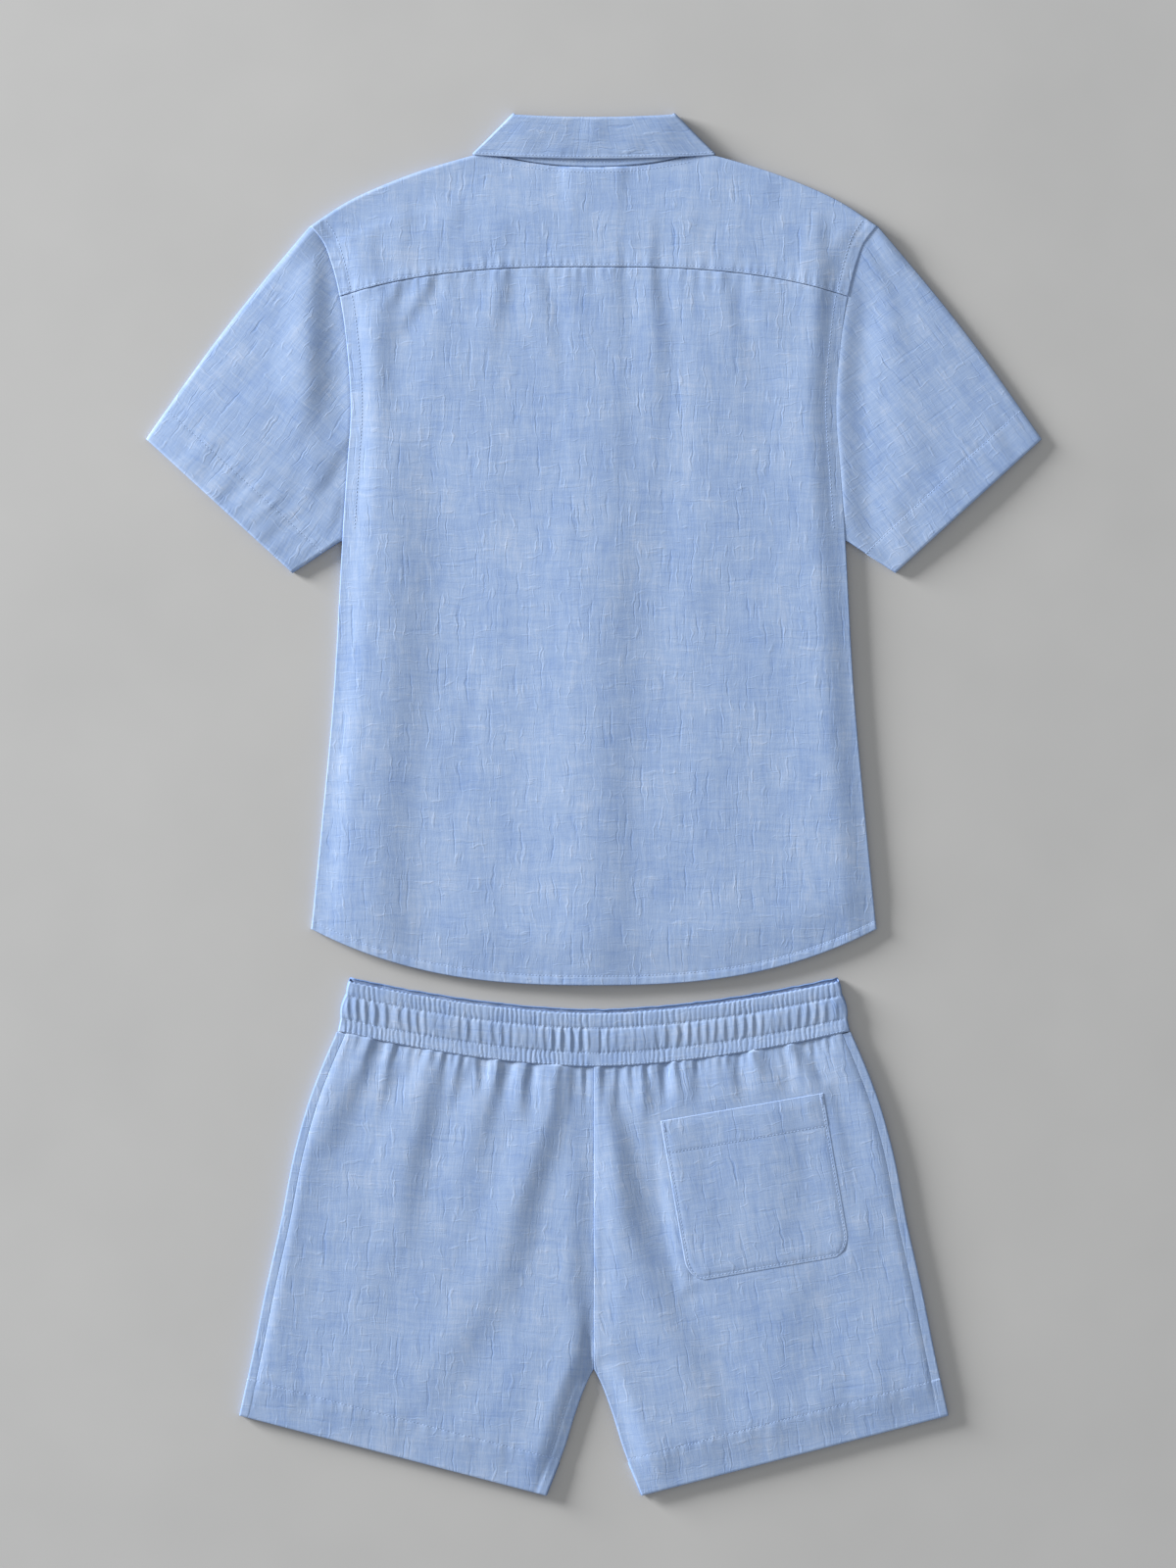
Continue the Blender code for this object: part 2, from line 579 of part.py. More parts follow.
def shirt_collar(parent):
    """The leaf: it falls from the roll over the stand behind, and turns to a point on each side in front."""
    roll_side = np.array(ROLL_CORNER) + COLLAR_IN * COLLAR_RADIUS
    edge_side = np.array(LEAF_SIDE) + COLLAR_IN * COLLAR_RADIUS
    behind, before = np.linspace(0, 1, 8), np.linspace(0, 1, 7)
    roll_back = [(s * roll_side[0], mix(ROLL_MID_Y, roll_side[1], s**2)) for s in behind]
    edge_back = [(s * edge_side[0], mix(LEAF_MID_Y, edge_side[1], s**2)) for s in behind]
    roll_front = [mix(roll_side, np.array(ROLL_FRONT), s) for s in before]
    edge_front = [mix(edge_side, np.array(LEAF_POINT), s) for s in before]
    roll = collar_stations(roll_back, ROLL_CORNER, roll_front)
    edge = collar_stations(edge_back, LEAF_SIDE, edge_front)
    section = (  # for the outer and the inner face: share from roll to edge, distance beyond it, depth
        ((0.0, 0.0, 2.6), (0.0, 1.2, 2.6)),
        ((0.0, 0.0, 0.9), (0.0, LEAF, 2.0)),
        ((0.0, 1.4, 0.0), (0.0, 2.2, LEAF)),
        ((0.35, 0.0, 0.0), (0.35, 0.0, LEAF)),
        ((0.7, 0.0, 0.0), (0.7, 0.0, LEAF)),
        ((1.0, 0.0, 0.0), (1.0, 0.0, LEAF)),
    )
    grids = [[], []]
    for pair in section:
        for grid, (share, beyond, depth) in zip(grids, pair):
            row = []
            for (a, angle), (b, _) in zip(roll, edge):
                plan = mix(np.array(a), np.array(b), share) + unit(np.subtract(b, a)) * beyond
                row.append(collar_point(plan, angle, depth))
            grid.append([point * (-1, 1, 1) for point in row[:0:-1]] + row)
    return cloth_wall("shirt_collar", *(np.array(grid) for grid in grids), parent)


def shirt_collar_stand(parent):
    """The stand: a band from the neck seam to the roll, whose ends lap at the opening."""
    roll_corner = np.array(ROLL_CORNER) + COLLAR_DOWN * STAND_BELOW_ROLL
    low_side = np.array(STAND_SIDE) + COLLAR_IN * COLLAR_RADIUS
    high_side = roll_corner + COLLAR_IN * COLLAR_RADIUS
    behind, before = np.linspace(0, 1, 8), np.linspace(0, 1, 8)
    low_back = [(s * low_side[0], mix(neck_y(s * low_side[0]) + CURVE_SEAM, low_side[1], s**8)) for s in behind]
    high_back = [(s * high_side[0], mix(ROLL_MID_Y - STAND_BELOW_ROLL, high_side[1], s**2)) for s in behind]
    low_front = [low_side]
    for turn in np.radians(np.linspace(14.0, 90.0, 7)):
        drop = (FRONT_NECK_DROP - CURVE_SEAM) * math.sin(turn)
        low_front.append(((NECK_HALF - 1.4) * math.cos(turn), NECK_RISE - drop))
    roll_end = np.array(ROLL_FRONT) + COLLAR_DOWN * STAND_BELOW_ROLL
    high_front = [mix(high_side, roll_end, s) for s in before]
    low_front.append((STAND_END[0], front_neck_y(PLACKET_HALF) + SEAM))
    high_front.append((STAND_END[1], ROLL_FRONT[1] - STAND_END_DROP))
    low = collar_stations(low_back, STAND_SIDE, low_front)
    high = collar_stations(high_back, roll_corner, high_front)

    def half(depth, over_placket):
        rows = []
        for share in (0.0, 0.5, 1.0):
            row = []
            for (a, angle), (b, _) in zip(low, high):
                point = collar_point(mix(np.array(a), np.array(b), share), angle, depth)
                if angle < math.radians(-80.0):
                    lap = PLACKET_LIFT - UNDER_LEAF + (PLACKET + SEAM) * over_placket
                    point[2] += lap * ease(1 - (point[0] - PLACKET_HALF - 1.0) / 24.0)
                row.append(point)
            rows.append(row)
        return np.array(rows)

    grids = []
    for depth in (UNDER_LEAF, UNDER_LEAF + STAND):
        left, right = half(depth, False), half(depth, True)
        grids.append(np.concatenate([flipped(left[:, :0:-1], -1), right], axis=1))
    return cloth_wall("shirt_collar_stand", *grids, parent)


def loop_stations(levels, ends):
    """Goes once round a flattened tube: under it, round one fold, over it and round the other.

    Each station is a level between the folds and an angle, -90 degrees below and +90 above."""
    first, last = ends
    under = [(level, -90.0) for level in levels]
    fold = [(last, angle) for angle in (-45.0, 0.0, 45.0)]
    over = [(level, 90.0) for level in reversed(levels)]
    back = [(first, angle) for angle in (45.0, 0.0, -45.0)]
    return under + fold + over + back


def shirt_sleeve(name, side, crease_table, parent):
    """A flattened tube from the armhole to the cuff hem. Both its layers end on the armhole's curve."""
    levels = [UNDERARM_Y + EDGE_RADIUS, *ARM_LEVELS[1:], *YOKE_LEVELS, TIP_Y - EDGE_RADIUS]
    stations = loop_stations(levels, (UNDERARM_Y, TIP_Y))
    outer_hem, inner_hem = np.array(SLEEVE_HEM_OUTER), np.array(SLEEVE_HEM_INNER)
    edge = unit(outer_hem - (TIP_X, TIP_Y))
    outward = np.array([-edge[1], edge[0]])

    def place(row, level, angle, wall):
        angle = math.radians(angle)
        turn = EDGE_RADIUS * (1 - math.cos(angle)) + wall * math.cos(angle)
        if level == TIP_Y:
            level = TIP_Y - turn
        elif level == UNDERARM_Y:
            level = UNDERARM_Y + turn
        down = (level - TIP_Y) / (UNDERARM_Y - TIP_Y)
        start = np.array([smooth(ARMHOLE, level) + SLEEVE_SEAM, level])
        end = mix(outer_hem, inner_hem, down)
        stitch = 1 - SLEEVE_HEM / np.hypot(*(end - start))
        along = min(row, 1.0) * stitch + max(row - 1.0, 0.0) * (1 - stitch)
        plan = mix(start, end, along)
        plan = plan + outward * SLEEVE_BULGE * math.sin(math.pi * along) * (1 - down) ** 3
        dome = max(math.sin(math.pi * np.clip(down, 0, 1)), 0.0) ** 0.7
        height = mix(SLEEVE_EDGE, SLEEVE_MID, dome)
        creases = folds(crease_table, *plan) * ease(dome / 0.5) * ease(along / 0.08)
        tuck = SLEEVE_TUCK * ease((down - 0.25) / 0.25) * ease(1 - along / 0.18) * dome
        height += float(creases) - tuck
        thick = wall * (1 + HEM_EXTRA / CLOTH * (row > 1.01))
        tall = height / 2 - thick
        return side * plan[0], plan[1], height / 2 + tall * math.sin(angle)

    grids = [
        np.array([[place(row, *station, wall) for station in stations] for row in SLEEVE_ROWS])
        for wall in (0.0, CLOTH)
    ]
    return cloth_wall(name, *grids, parent, joined=True)


# Shorts, plan and heights


def leg_plan(w, row):
    """Plan point at a share w of the way from the leg's inner edge to its side."""
    side_y, inner_y = LEG_ROWS[row]
    bow = mix(BAND_BOW, 1.0, ease(row / (len(LEG_ROWS) - 1)))
    inner_x = float(smooth(INSEAM, inner_y)) if inner_y < CROTCH_Y else SEAM / 2
    x = mix(inner_x, float(smooth(OUTSEAM, side_y)), w)
    return x, mix(inner_y, side_y, np.asarray(w) ** bow)


def leg_hem_y(x):
    (inner_y, inner_x), (side_y, side_x) = INSEAM[0], OUTSEAM[0]
    return mix(inner_y, side_y, (x - inner_x) / (side_x - inner_x))


def pocket_turned(across, up):
    """From distances in the pocket's own directions to distances in the shorts' directions."""
    cos, sin = math.cos(POCKET_TILT), math.sin(POCKET_TILT)
    return across * cos - up * sin, across * sin + up * cos


def under_pocket(x, y):
    """1 where the double cloth of the pocket keeps the leg smooth, and 0 away from it."""
    cos, sin = math.cos(POCKET_TILT), math.sin(POCKET_TILT)
    x, y = x - POCKET_CORNER[0], y - POCKET_CORNER[1]
    across, up = x * cos + y * sin, y * cos - x * sin
    beside = np.abs(across - POCKET_WIDTH / 2) - POCKET_WIDTH / 2
    return ease(1 - np.maximum(beside, np.maximum(up, -POCKET_DEPTH - up)) / POCKET_CALM_RAMP)


def leg_low(x, y, side):
    """Lower face of the shorts' back. x is the distance from the centre seam."""
    inner_x = np.where(y < CROTCH_Y, smooth(INSEAM, y), 0.0)
    at_hem = CLOTH + HEM_EXTRA + SEAM
    at_inner = mix(CENTRE_HEIGHT, at_hem + 0.1, ease((CROTCH_Y + INSEAM_RAMP - y) / INSEAM_RAMP))
    low = mix(at_inner, CLOTH + SEAM + LOFT, ease((x - inner_x) / CENTRE_SOFTNESS))
    low = mix(OUTSEAM_HEIGHT, low, ease((smooth(OUTSEAM, y) - x) / OUTSEAM_SOFTNESS))
    if side > 0:
        low = low + folds(LEG_FOLDS_RIGHT, x, y) * (1 - POCKET_CALM * under_pocket(x, y))
    else:
        low = low + folds(LEG_FOLDS_LEFT, x, y)
    low = mix(at_hem, low, ease((y - leg_hem_y(x)) / LEG_HEM_SOFTNESS))
    return np.maximum(low, at_hem)


# Shorts, pieces


def leg_hem(row):
    return HEM_EXTRA * (row >= len(LEG_ROWS) - LEG_HEM_ROWS)


def shorts_back(name, side, parent):
    w = np.linspace(0, 1, LEG_COLUMNS)
    outer, inner = [], []
    for row in range(len(LEG_ROWS)):
        x, y = leg_plan(w, row)
        seam_x = x[-1] - SIDE_TURN - SEAM
        narrowed = x[0] + (x - x[0]) * (seam_x - x[0]) / (x[-1] - x[0])
        y = np.interp(narrowed, x, y)
        low = leg_low(narrowed, y, side)
        outer.append(points(narrowed, y, low + CLOTH + leg_hem(row)))
        inner.append(points(narrowed, y, low))
    return cloth_wall(name, flipped(np.array(outer), side), flipped(np.array(inner), side), parent)


def shorts_front(name, side, parent):
    """The front lies below. At the side it turns up round the fold and onto the back."""
    outer, inner = [], []
    bend = np.radians([-50.0, 0.0, 50.0])
    for row in range(len(LEG_ROWS)):
        edge_x, edge_y = leg_plan(1.0, row)
        start_x, _ = leg_plan(0.0, row)
        seam_x = edge_x - SIDE_TURN
        w = np.linspace(0, FRONT_LEG_SHARE, FRONT_LEG_COLUMNS)
        x, y = leg_plan(np.append(w, 1 - EDGE_RADIUS / (edge_x - start_x)), row)
        gathers = 0.5 + 0.5 * np.sin(2 * math.pi * x / GATHER_PITCH)
        low = gathers * ease((y + GATHER_DEPTH) / GATHER_RAMP) * ease((edge_x - x) / 12.0)
        thick = CLOTH + leg_hem(row)
        top = float(leg_low(np.array(seam_x), np.array(edge_y), side)) + thick
        for grid, wall in ((outer, 0.0), (inner, thick)):
            turn_x = edge_x - EDGE_RADIUS * (1 - np.cos(bend)) - wall * np.cos(bend)
            over_x = np.concatenate([turn_x, [edge_x - EDGE_RADIUS, seam_x]])
            _, over_y = leg_plan((over_x - start_x) / (edge_x - start_x), row)
            over_z = top / 2 + (top / 2 - wall) * np.append(np.sin(bend), [1, 1])
            grid.append(np.concatenate([points(x, y, low + wall), points(over_x, over_y, over_z)]))
    return cloth_wall(name, flipped(np.array(outer), side), flipped(np.array(inner), side), parent)


def shorts_waistband(parent):
    """An elastic casing in one ring: under, round one side, over and round the other side."""
    below = np.linspace(-1, 1, BAND_FRONT_COLUMNS)
    above = np.linspace(1, -1, 3 * BAND_GATHERS + 1)
    stations = [(w, -90.0) for w in below] + [(1.0, a) for a in (-45.0, 0.0, 45.0)]
    stations += [(w, 90.0) for w in above] + [(-1.0, a) for a in (45.0, 0.0, -45.0)]

    def place(row, share, angle, wall):
        down, swell, gather = row
        turned = math.radians(angle)
        half = mix(BAND_TOP_HALF, BAND_BOTTOM_HALF, down)
        inset = BAND_RADIUS * (1 - math.cos(turned)) + wall * math.cos(turned)
        x = share * (half - inset)
        middle = mix(BAND_PEEP * (1 - math.sin(turned)) / 2, BAND_BOTTOM_MID, down)
        rise = mix(BAND_TOP_RISE, BAND_BOTTOM_SIDE - BAND_BOTTOM_MID, down)
        y = middle + rise * abs(share) ** BAND_BOW
        z = BAND_HEIGHT / 2 + (BAND_HEIGHT / 2 - wall) * math.sin(turned)
        if angle > 0 and not wall:
            wave = 0.5 - 0.5 * math.cos(math.pi * (share + 1) * BAND_GATHERS)
            z += (swell - gather * wave) * ease((1 - abs(share)) / BAND_FLAT_SHARE)
        return x, y, z

    grids = [
        np.array([[place(row, *station, wall) for station in stations] for row in BAND_SECTION])
        for wall in (0.0, BAND_WALL)
    ]
    return cloth_wall("shorts_waistband", *grids, parent, joined=True)


def shorts_pocket(parent):
    """A patch with two round corners, made from the back's own height and moved out."""
    down = np.array(POCKET_ROWS)[:, None] * POCKET_DEPTH
    into = np.clip(down - (POCKET_DEPTH - POCKET_ROUND), 0, POCKET_ROUND)
    trim = POCKET_TRIM * (POCKET_ROUND - np.sqrt(POCKET_ROUND**2 - into**2))
    across = mix(trim, POCKET_WIDTH - trim, np.linspace(0, 1, POCKET_COLUMNS))
    right, up = pocket_turned(across, -down)
    x, y = POCKET_CORNER[0] + right, POCKET_CORNER[1] + up
    low = leg_low(x, y, 1) + CLOTH + POCKET_CLEAR
    high = low + CLOTH + HEM_EXTRA * (down < POCKET_HEM)
    return cloth_wall("shorts_back_pocket", points(x, y, high), points(x, y, low), parent)


def add_empty(name, y):
    empty = bpy.data.objects.new(name, None)
    bpy.context.scene.collection.objects.link(empty)
    empty.location = (0.0, y * MM, 0.0)
    return empty


def build_shirt():
    shirt = add_empty("shirt", SHIRT_Y)
    shirt_back(shirt)
    shirt_yoke(shirt)
    shirt_front("shirt_front_right", 1, True, shirt)
    shirt_front("shirt_front_left", -1, False, shirt)
    shirt_placket(shirt)
    shirt_button(1, FIRST_BUTTON_Y, shirt)
    for number in range(FRONT_BUTTONS):
        shirt_button(number + 2, SECOND_BUTTON_Y - number * BUTTON_PITCH, shirt)
    shirt_collar(shirt)
    shirt_collar_stand(shirt)
    shirt_sleeve("shirt_sleeve_right", 1, SLEEVE_FOLDS_RIGHT, shirt)
    shirt_sleeve("shirt_sleeve_left", -1, SLEEVE_FOLDS_LEFT, shirt)


def build_shorts():
    shorts = add_empty("shorts", SHORTS_Y)
    shorts_back("shorts_back_right", 1, shorts)
    shorts_back("shorts_back_left", -1, shorts)
    shorts_front("shorts_front_right", 1, shorts)
    shorts_front("shorts_front_left", -1, shorts)
    shorts_waistband(shorts)
    shorts_pocket(shorts)


clear_scene()
build_shirt()
build_shorts()
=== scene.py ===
"""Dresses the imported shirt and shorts: cloth, folds, seams, stitching and buttons, on a pale floor.

Every size below is in millimetres and becomes metres where a mesh is made. The shirt is measured from
the middle of its neck seam, and the shorts from the middle of the waistband's top.
"""

import math

import bpy
import numpy as np
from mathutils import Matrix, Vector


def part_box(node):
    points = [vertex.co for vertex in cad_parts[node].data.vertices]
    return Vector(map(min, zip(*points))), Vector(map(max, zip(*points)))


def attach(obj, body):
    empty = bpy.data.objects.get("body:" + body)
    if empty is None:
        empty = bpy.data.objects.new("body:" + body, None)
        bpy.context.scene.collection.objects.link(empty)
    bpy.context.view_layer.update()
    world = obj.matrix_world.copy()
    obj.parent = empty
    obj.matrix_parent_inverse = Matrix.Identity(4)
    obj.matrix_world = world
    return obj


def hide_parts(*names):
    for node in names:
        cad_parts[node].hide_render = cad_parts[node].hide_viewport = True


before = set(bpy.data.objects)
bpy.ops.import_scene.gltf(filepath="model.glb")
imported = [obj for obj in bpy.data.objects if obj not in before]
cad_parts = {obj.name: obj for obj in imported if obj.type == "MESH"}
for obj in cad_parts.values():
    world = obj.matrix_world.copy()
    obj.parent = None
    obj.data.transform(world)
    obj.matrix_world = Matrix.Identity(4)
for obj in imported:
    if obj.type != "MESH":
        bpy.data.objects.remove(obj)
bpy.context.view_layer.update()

MM = 0.001
SHIRT_Y = 542.9
SHORTS_Y = -177.8

# Cloth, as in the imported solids
CLOTH = 1.0
HEM_EXTRA = 0.5
HEM_STEP = 0.2
SEAM = 0.3
CURVE_SEAM = 0.4
LOFT = 3.1
EDGE_RADIUS = 0.6
TURNED_HEM = 1.46  # how far a hem's inner layer lies from its face
WEAVE_WALL = 0.6  # the woven cloth itself

# Shirt, outline of the body
HEM_MID_Y = -697.0
HEM_SIDE_Y = -649.0
HEM_BOW = 2.6
HEM_DEPTH = 7.5
UNDERARM_Y = -318.0
YOKE_MID_Y = -85.0
YOKE_SIDE_Y = -110.0
YOKE_BOW = 2.8
NECK_HALF = 95.0
NECK_RISE = 12.3
FRONT_NECK_DROP = 62.8
TIP_X = 241.3
TIP_Y = -49.8
STRIP_DEPTH = 32.0
SIDE_SEAM = ((HEM_SIDE_Y, 240.9), (-556.0, 231.7), (-456.5, 222.5), (UNDERARM_Y, 214.6))  # y, x
ARMHOLE = (  # y, x
    (UNDERARM_Y, 214.6), (-258.0, 210.4), (-207.0, 207.1), (-157.0, 210.0),
    (YOKE_SIDE_Y, 216.5), (-80.5, 224.0), (-62.4, 231.3), (TIP_Y, TIP_X),
)
SHOULDER = ((NECK_HALF, NECK_RISE), (104.4, 9.8), (169.5, -11.0), (213.8, -31.5), (TIP_X, TIP_Y))  # x, y

# Shirt, heights of the back and the yoke
SIDE_HEIGHT = 3.3
BODY_SIDE_HEIGHT = 3.7
SIDE_SOFTNESS = 27.0
PUFF = 0.9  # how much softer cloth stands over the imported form
UNDERARM_SOFTNESS = 60.0
SHOULDER_HEIGHT = 4.9
SHOULDER_SOFTNESS = 30.0
HEM_SOFTNESS = 45.0
HEM_SHARE = 0.7
YOKE_STEP = 0.3
YOKE_STEP_DEPTH = 14.0
BACK_CREASES = (  # each a chain of (x, y, half width, fall to the right)
    ((-163, -92, 6.25, 0), (-166, -104, 6.25, 0.86), (-172, -120, 8.75, 1.15), (-176, -140, 11.25, 1.25),
     (-178, -170, 12.5, 1.06), (-180, -205, 12.5, 0.77), (-184, -240, 12.5, 0.29), (-186, -265, 12.5, 0)),
    ((-138, -88, 5, 0), (-140, -100, 5, 0.77), (-147, -115, 6.25, 0.86), (-158, -132, 7.5, 0.58),
     (-166, -150, 8.75, 0)),
    ((-181, -95, 4, 0), (-184, -104, 4, 0.4), (-190, -116, 4, 0)),
    ((-160, -190, 18, 0), (-158, -240, 22, 1.02), (-156, -300, 24, 1.53), (-155, -360, 25, 1.87),
     (-156, -430, 24, 1.87), (-163, -500, 22, 1.78), (-168, -570, 20, 1.7), (-168, -640, 20, 1.53),
     (-166, -700, 20, 1.1)),
    ((-75, -78, 5, 0), (-75, -90, 5, 0.77), (-76, -108, 6.25, 0.86), (-80, -128, 7.5, 0.67),
     (-84, -155, 8.75, 0.29), (-86, -180, 8.75, 0)),
    ((-44, -84, 5, 0), (-43, -95, 5, 0.58), (-40, -112, 6.25, 0.58), (-36, -132, 7.5, 0.48),
     (-32, -160, 7.5, 0.24), (-30, -185, 7.5, 0)),
    ((-16, -84, 10, 0), (-14, -96, 10, 0.58), (-12, -118, 10, 0.48), (-10, -140, 10, 0)),
    ((20, -56, 3.75, 0), (20, -72, 3.75, 0.29), (20, -90, 4.38, 0.48), (19, -112, 6.25, 0.38),
     (17, -140, 7.5, 0)),
    ((52, -36, 5, 0), (52, -60, 6, 0.48), (52, -84, 5, 0.72), (53, -100, 5, 0.96), (56, -125, 7, 0.88),
     (59, -155, 9, 0.8), (58, -195, 10, 0.56), (55, -240, 10, 0.4), (52, -290, 10, 0.32),
     (52, -340, 10, 0)),
    ((114, -80, 5, 0), (115, -92, 5, 0.48), (118, -110, 6.25, 0.67), (121, -132, 7.5, 0.58),
     (126, -155, 8.75, 0.38), (128, -190, 8.75, 0)),
    ((26, -170, 15.4, 0), (26, -230, 19.8, 0.64), (28, -300, 22, 0.89), (27, -370, 22, 0.95),
     (22, -450, 20.9, 0.95), (22, -530, 20.9, 1.02), (22, -600, 22, 1.02), (18, -700, 22, 0.77)),
    ((140, -90, 4, 0), (141, -102, 4, 0.28), (142, -118, 4, 0)),
    ((92, -320, 14, 0), (92, -370, 14, 0.34), (100, -420, 14, 0)),
    ((70, -520, 12.6, 0), (72, -560, 12.6, 0.27), (68, -610, 12.6, 0.27), (66, -650, 12.6, 0)),
    ((-115, -430, 14, 0), (-114, -470, 12.6, 0.34), (-120, -520, 12.6, 0.27), (-124, -560, 12.6, 0)),
    ((165, -130, 26, 0), (166, -180, 26, -1.27), (170, -250, 26, -0.94), (170, -330, 26, -0.68),
     (172, -420, 24, -0.68), (176, -520, 24, -0.68), (180, -620, 24, -0.42), (182, -690, 24, 0)),
    ((-50, -270, 40, 0), (-50, -340, 40, -1.27), (-50, -450, 40, -1.27), (-50, -560, 40, -1.27),
     (-45, -700, 38, -1.02)),
    ((-186, -48, 6.25, 0), (-187, -65, 6.25, 0.48), (-186, -85, 6.25, 0.29), (-184, -95, 6.25, 0)),
    ((-160, -20, 8.75, 0), (-158, -40, 8.75, 0.48), (-160, -62, 7.5, 0.29), (-162, -84, 6.25, 0)),
    ((-115, -20, 8, 0), (-114, -42, 8, 0.4), (-118, -62, 8, 0)),
    ((-74, -40, 7, 0), (-74, -58, 7, 0.32), (-75, -78, 6, 0)),
    ((36, -46, 5, 0), (36, -62, 5, 0.28), (36, -80, 4, 0)),
    ((88, -30, 7, 0), (88, -52, 7, 0.28), (88, -74, 6, 0)),
    ((150, -5, 7, 0), (152, -22, 7, 0.32), (158, -40, 7, 0)),
    ((194, -36, 6.25, 0), (195, -55, 6.25, 0.77), (196, -75, 7.5, 0.96), (196, -95, 8.75, 1.15),
     (198, -120, 10, 0.96), (200, -150, 10, 0.58), (202, -190, 10, 0)),
)

# Shirt, placket and buttons
PLACKET_HALF = 17.0
PLACKET = 1.2
BUTTON_RADIUS = 5.5
BUTTON = 1.8
BUTTON_HOLE = 1.05  # from its middle to its holes, across and down
FIRST_BUTTON_Y = -35.5
SECOND_BUTTON_Y = -100.0
BUTTON_PITCH = 90.0
FRONT_BUTTONS = 6
PLACKET_LIFT = BUTTON + SEAM
LIFT_FROM_HEM = 25.0
LIFT_RAMP = 50.0
UNDER_RAMP = 30.0
OVER_RAMP = 34.0
FRONT_COLUMNS = (  # x at the hem, x at the shoulder
    (-17.0, -17.0), (0.0, 0.0), (17.5, 17.5), (27.0, 25.0), (37.0, 34.0), (50.0, 47.0), (84.0, 62.0),
    (120.0, 74.0), (145.0, 82.0), (185.0, 118.0), (215.0, 170.0), (240.9, 223.7),
)
FRONT_BOW = 1.5
NECK_END_COLUMN = 8

# Shirt, collar
LEAF = 1.4
COLLAR_HEIGHT = 7.4
COLLAR_RADIUS = 3.0
STAND_BELOW_ROLL = 3.0
UNDER_LEAF = LEAF + SEAM
OVER_LEAF = LEAF + 0.5
COLLAR_LIFT_REACH = 36.0
COLLAR_LIFT_RAMP = 24.0
ROLL_CORNER = (68.9, 47.0)
ROLL_MID_Y = 42.8
LEAF_SIDE = (104.4, 12.4)
LEAF_MID_Y = 6.9
ROLL_FRONT = (6.0, -20.5)
LEAF_POINT = (52.0, -80.5)
STAND_SIDE = (NECK_HALF - 1.5, NECK_RISE + 5.2)
STAND_END = (-PLACKET_HALF, -PLACKET_HALF + 6.0)
STAND_END_DROP = 5.0

# Shirt, sleeve
SLEEVE_HEM_OUTER = (381.6, -231.5)
SLEEVE_HEM_INNER = (257.2, -345.4)
SLEEVE_HEM = 31.0
SLEEVE_BULGE = 4.0
SLEEVE_EDGE = 3.4
SLEEVE_MID = 5.2
SLEEVE_SEAM = 0.45
SLEEVE_RISE = 38.0  # from the armhole up to the sleeve's full height
LEFT_SLEEVE_CREASES = (
    ((-232, -54, 6.6, 0), (-233, -66, 7.92, 1.32), (-233, -85, 9.24, 1.74), (-233, -120, 10.56, 1.9),
     (-235, -160, 11.88, 1.99), (-236, -190, 11.88, 1.82), (-240, -210, 10.56, 1.24),
     (-246, -228, 9.24, 0.66), (-252, -245, 9.24, 0)),
    ((-208, -222, 4.4, 0), (-212, -235, 5.5, 0.48), (-220, -252, 6.6, 0.66), (-230, -270, 6.6, 0.54),
     (-238, -284, 6.6, 0)),
    ((-214, -272, 4.4, 0), (-216, -285, 5.5, 0.6), (-221, -303, 6.6, 0.72), (-226, -318, 6.6, 0.6),
     (-230, -335, 6.6, 0)),
    ((-338, -212, 7.59, 0), (-343, -222, 7.59, 0.13), (-350, -236, 7.59, 0.21), (-358, -250, 7.59, 0.13)),
    ((-312, -222, 7.59, 0), (-320, -236, 8.86, 0.38), (-330, -250, 10.12, 0.5), (-338, -262, 8.86, 0.34),
     (-346, -275, 7.59, 0.13)),
    ((-297, -230, 6.33, 0), (-301, -250, 6.33, 0.17), (-308, -264, 7.59, 0.38), (-316, -280, 7.59, 0.38),
     (-324, -292, 6.33, 0.13)),
    ((-254, -250, 7.59, 0), (-260, -270, 8.86, 0.29), (-268, -290, 8.86, 0.38), (-278, -312, 8.86, 0.34),
     (-286, -325, 7.59, 0.13)),
    ((-228, -295, 6.33, 0), (-234, -312, 7.59, 0.34), (-242, -328, 7.59, 0.34), (-248, -340, 6.33, 0.17)),
    ((-290, -150, 9.9, 0), (-300, -175, 9.9, 0.24), (-312, -200, 9.9, 0)),
    ((-268, -190, 8.8, 0), (-274, -215, 8.8, 0.24), (-282, -240, 8.8, 0)),
)
RIGHT_SLEEVE_CREASES = (
    ((220, -90, 8.25, 0), (222, -110, 9.62, 1.04), (221, -140, 11, 1.66), (220, -180, 12.38, 1.87),
     (222, -220, 12.38, 1.87), (224, -260, 12.38, 1.66), (226, -300, 11, 1.35), (230, -325, 11, 0.83)),
    ((230, -56, 4.4, 0), (234, -64, 4.4, 0.68), (241, -78, 5.5, 0.68), (249, -97, 6.6, 0.51),
     (256, -117, 7.7, 0.42), (263, -142, 8.8, 0.34), (268, -170, 8.8, 0)),
    ((276, -205, 8.8, 0), (282, -235, 8.8, 0.42), (290, -262, 8.8, 0)),
    ((312, -160, 9.9, 0), (318, -185, 9.9, 0.3), (326, -215, 9.9, 0)),
    ((340, -206, 6.6, 0), (346, -228, 6.6, 0.42), (352, -243, 6.6, 0.34), (358, -256, 5.5, 0)),
    ((306, -236, 8.8, 0), (296, -262, 8.8, -0.42), (286, -290, 8.8, 0)),
    ((256, -270, 7.7, 0), (262, -295, 7.7, 0.34), (268, -318, 7.7, 0.26)),
)

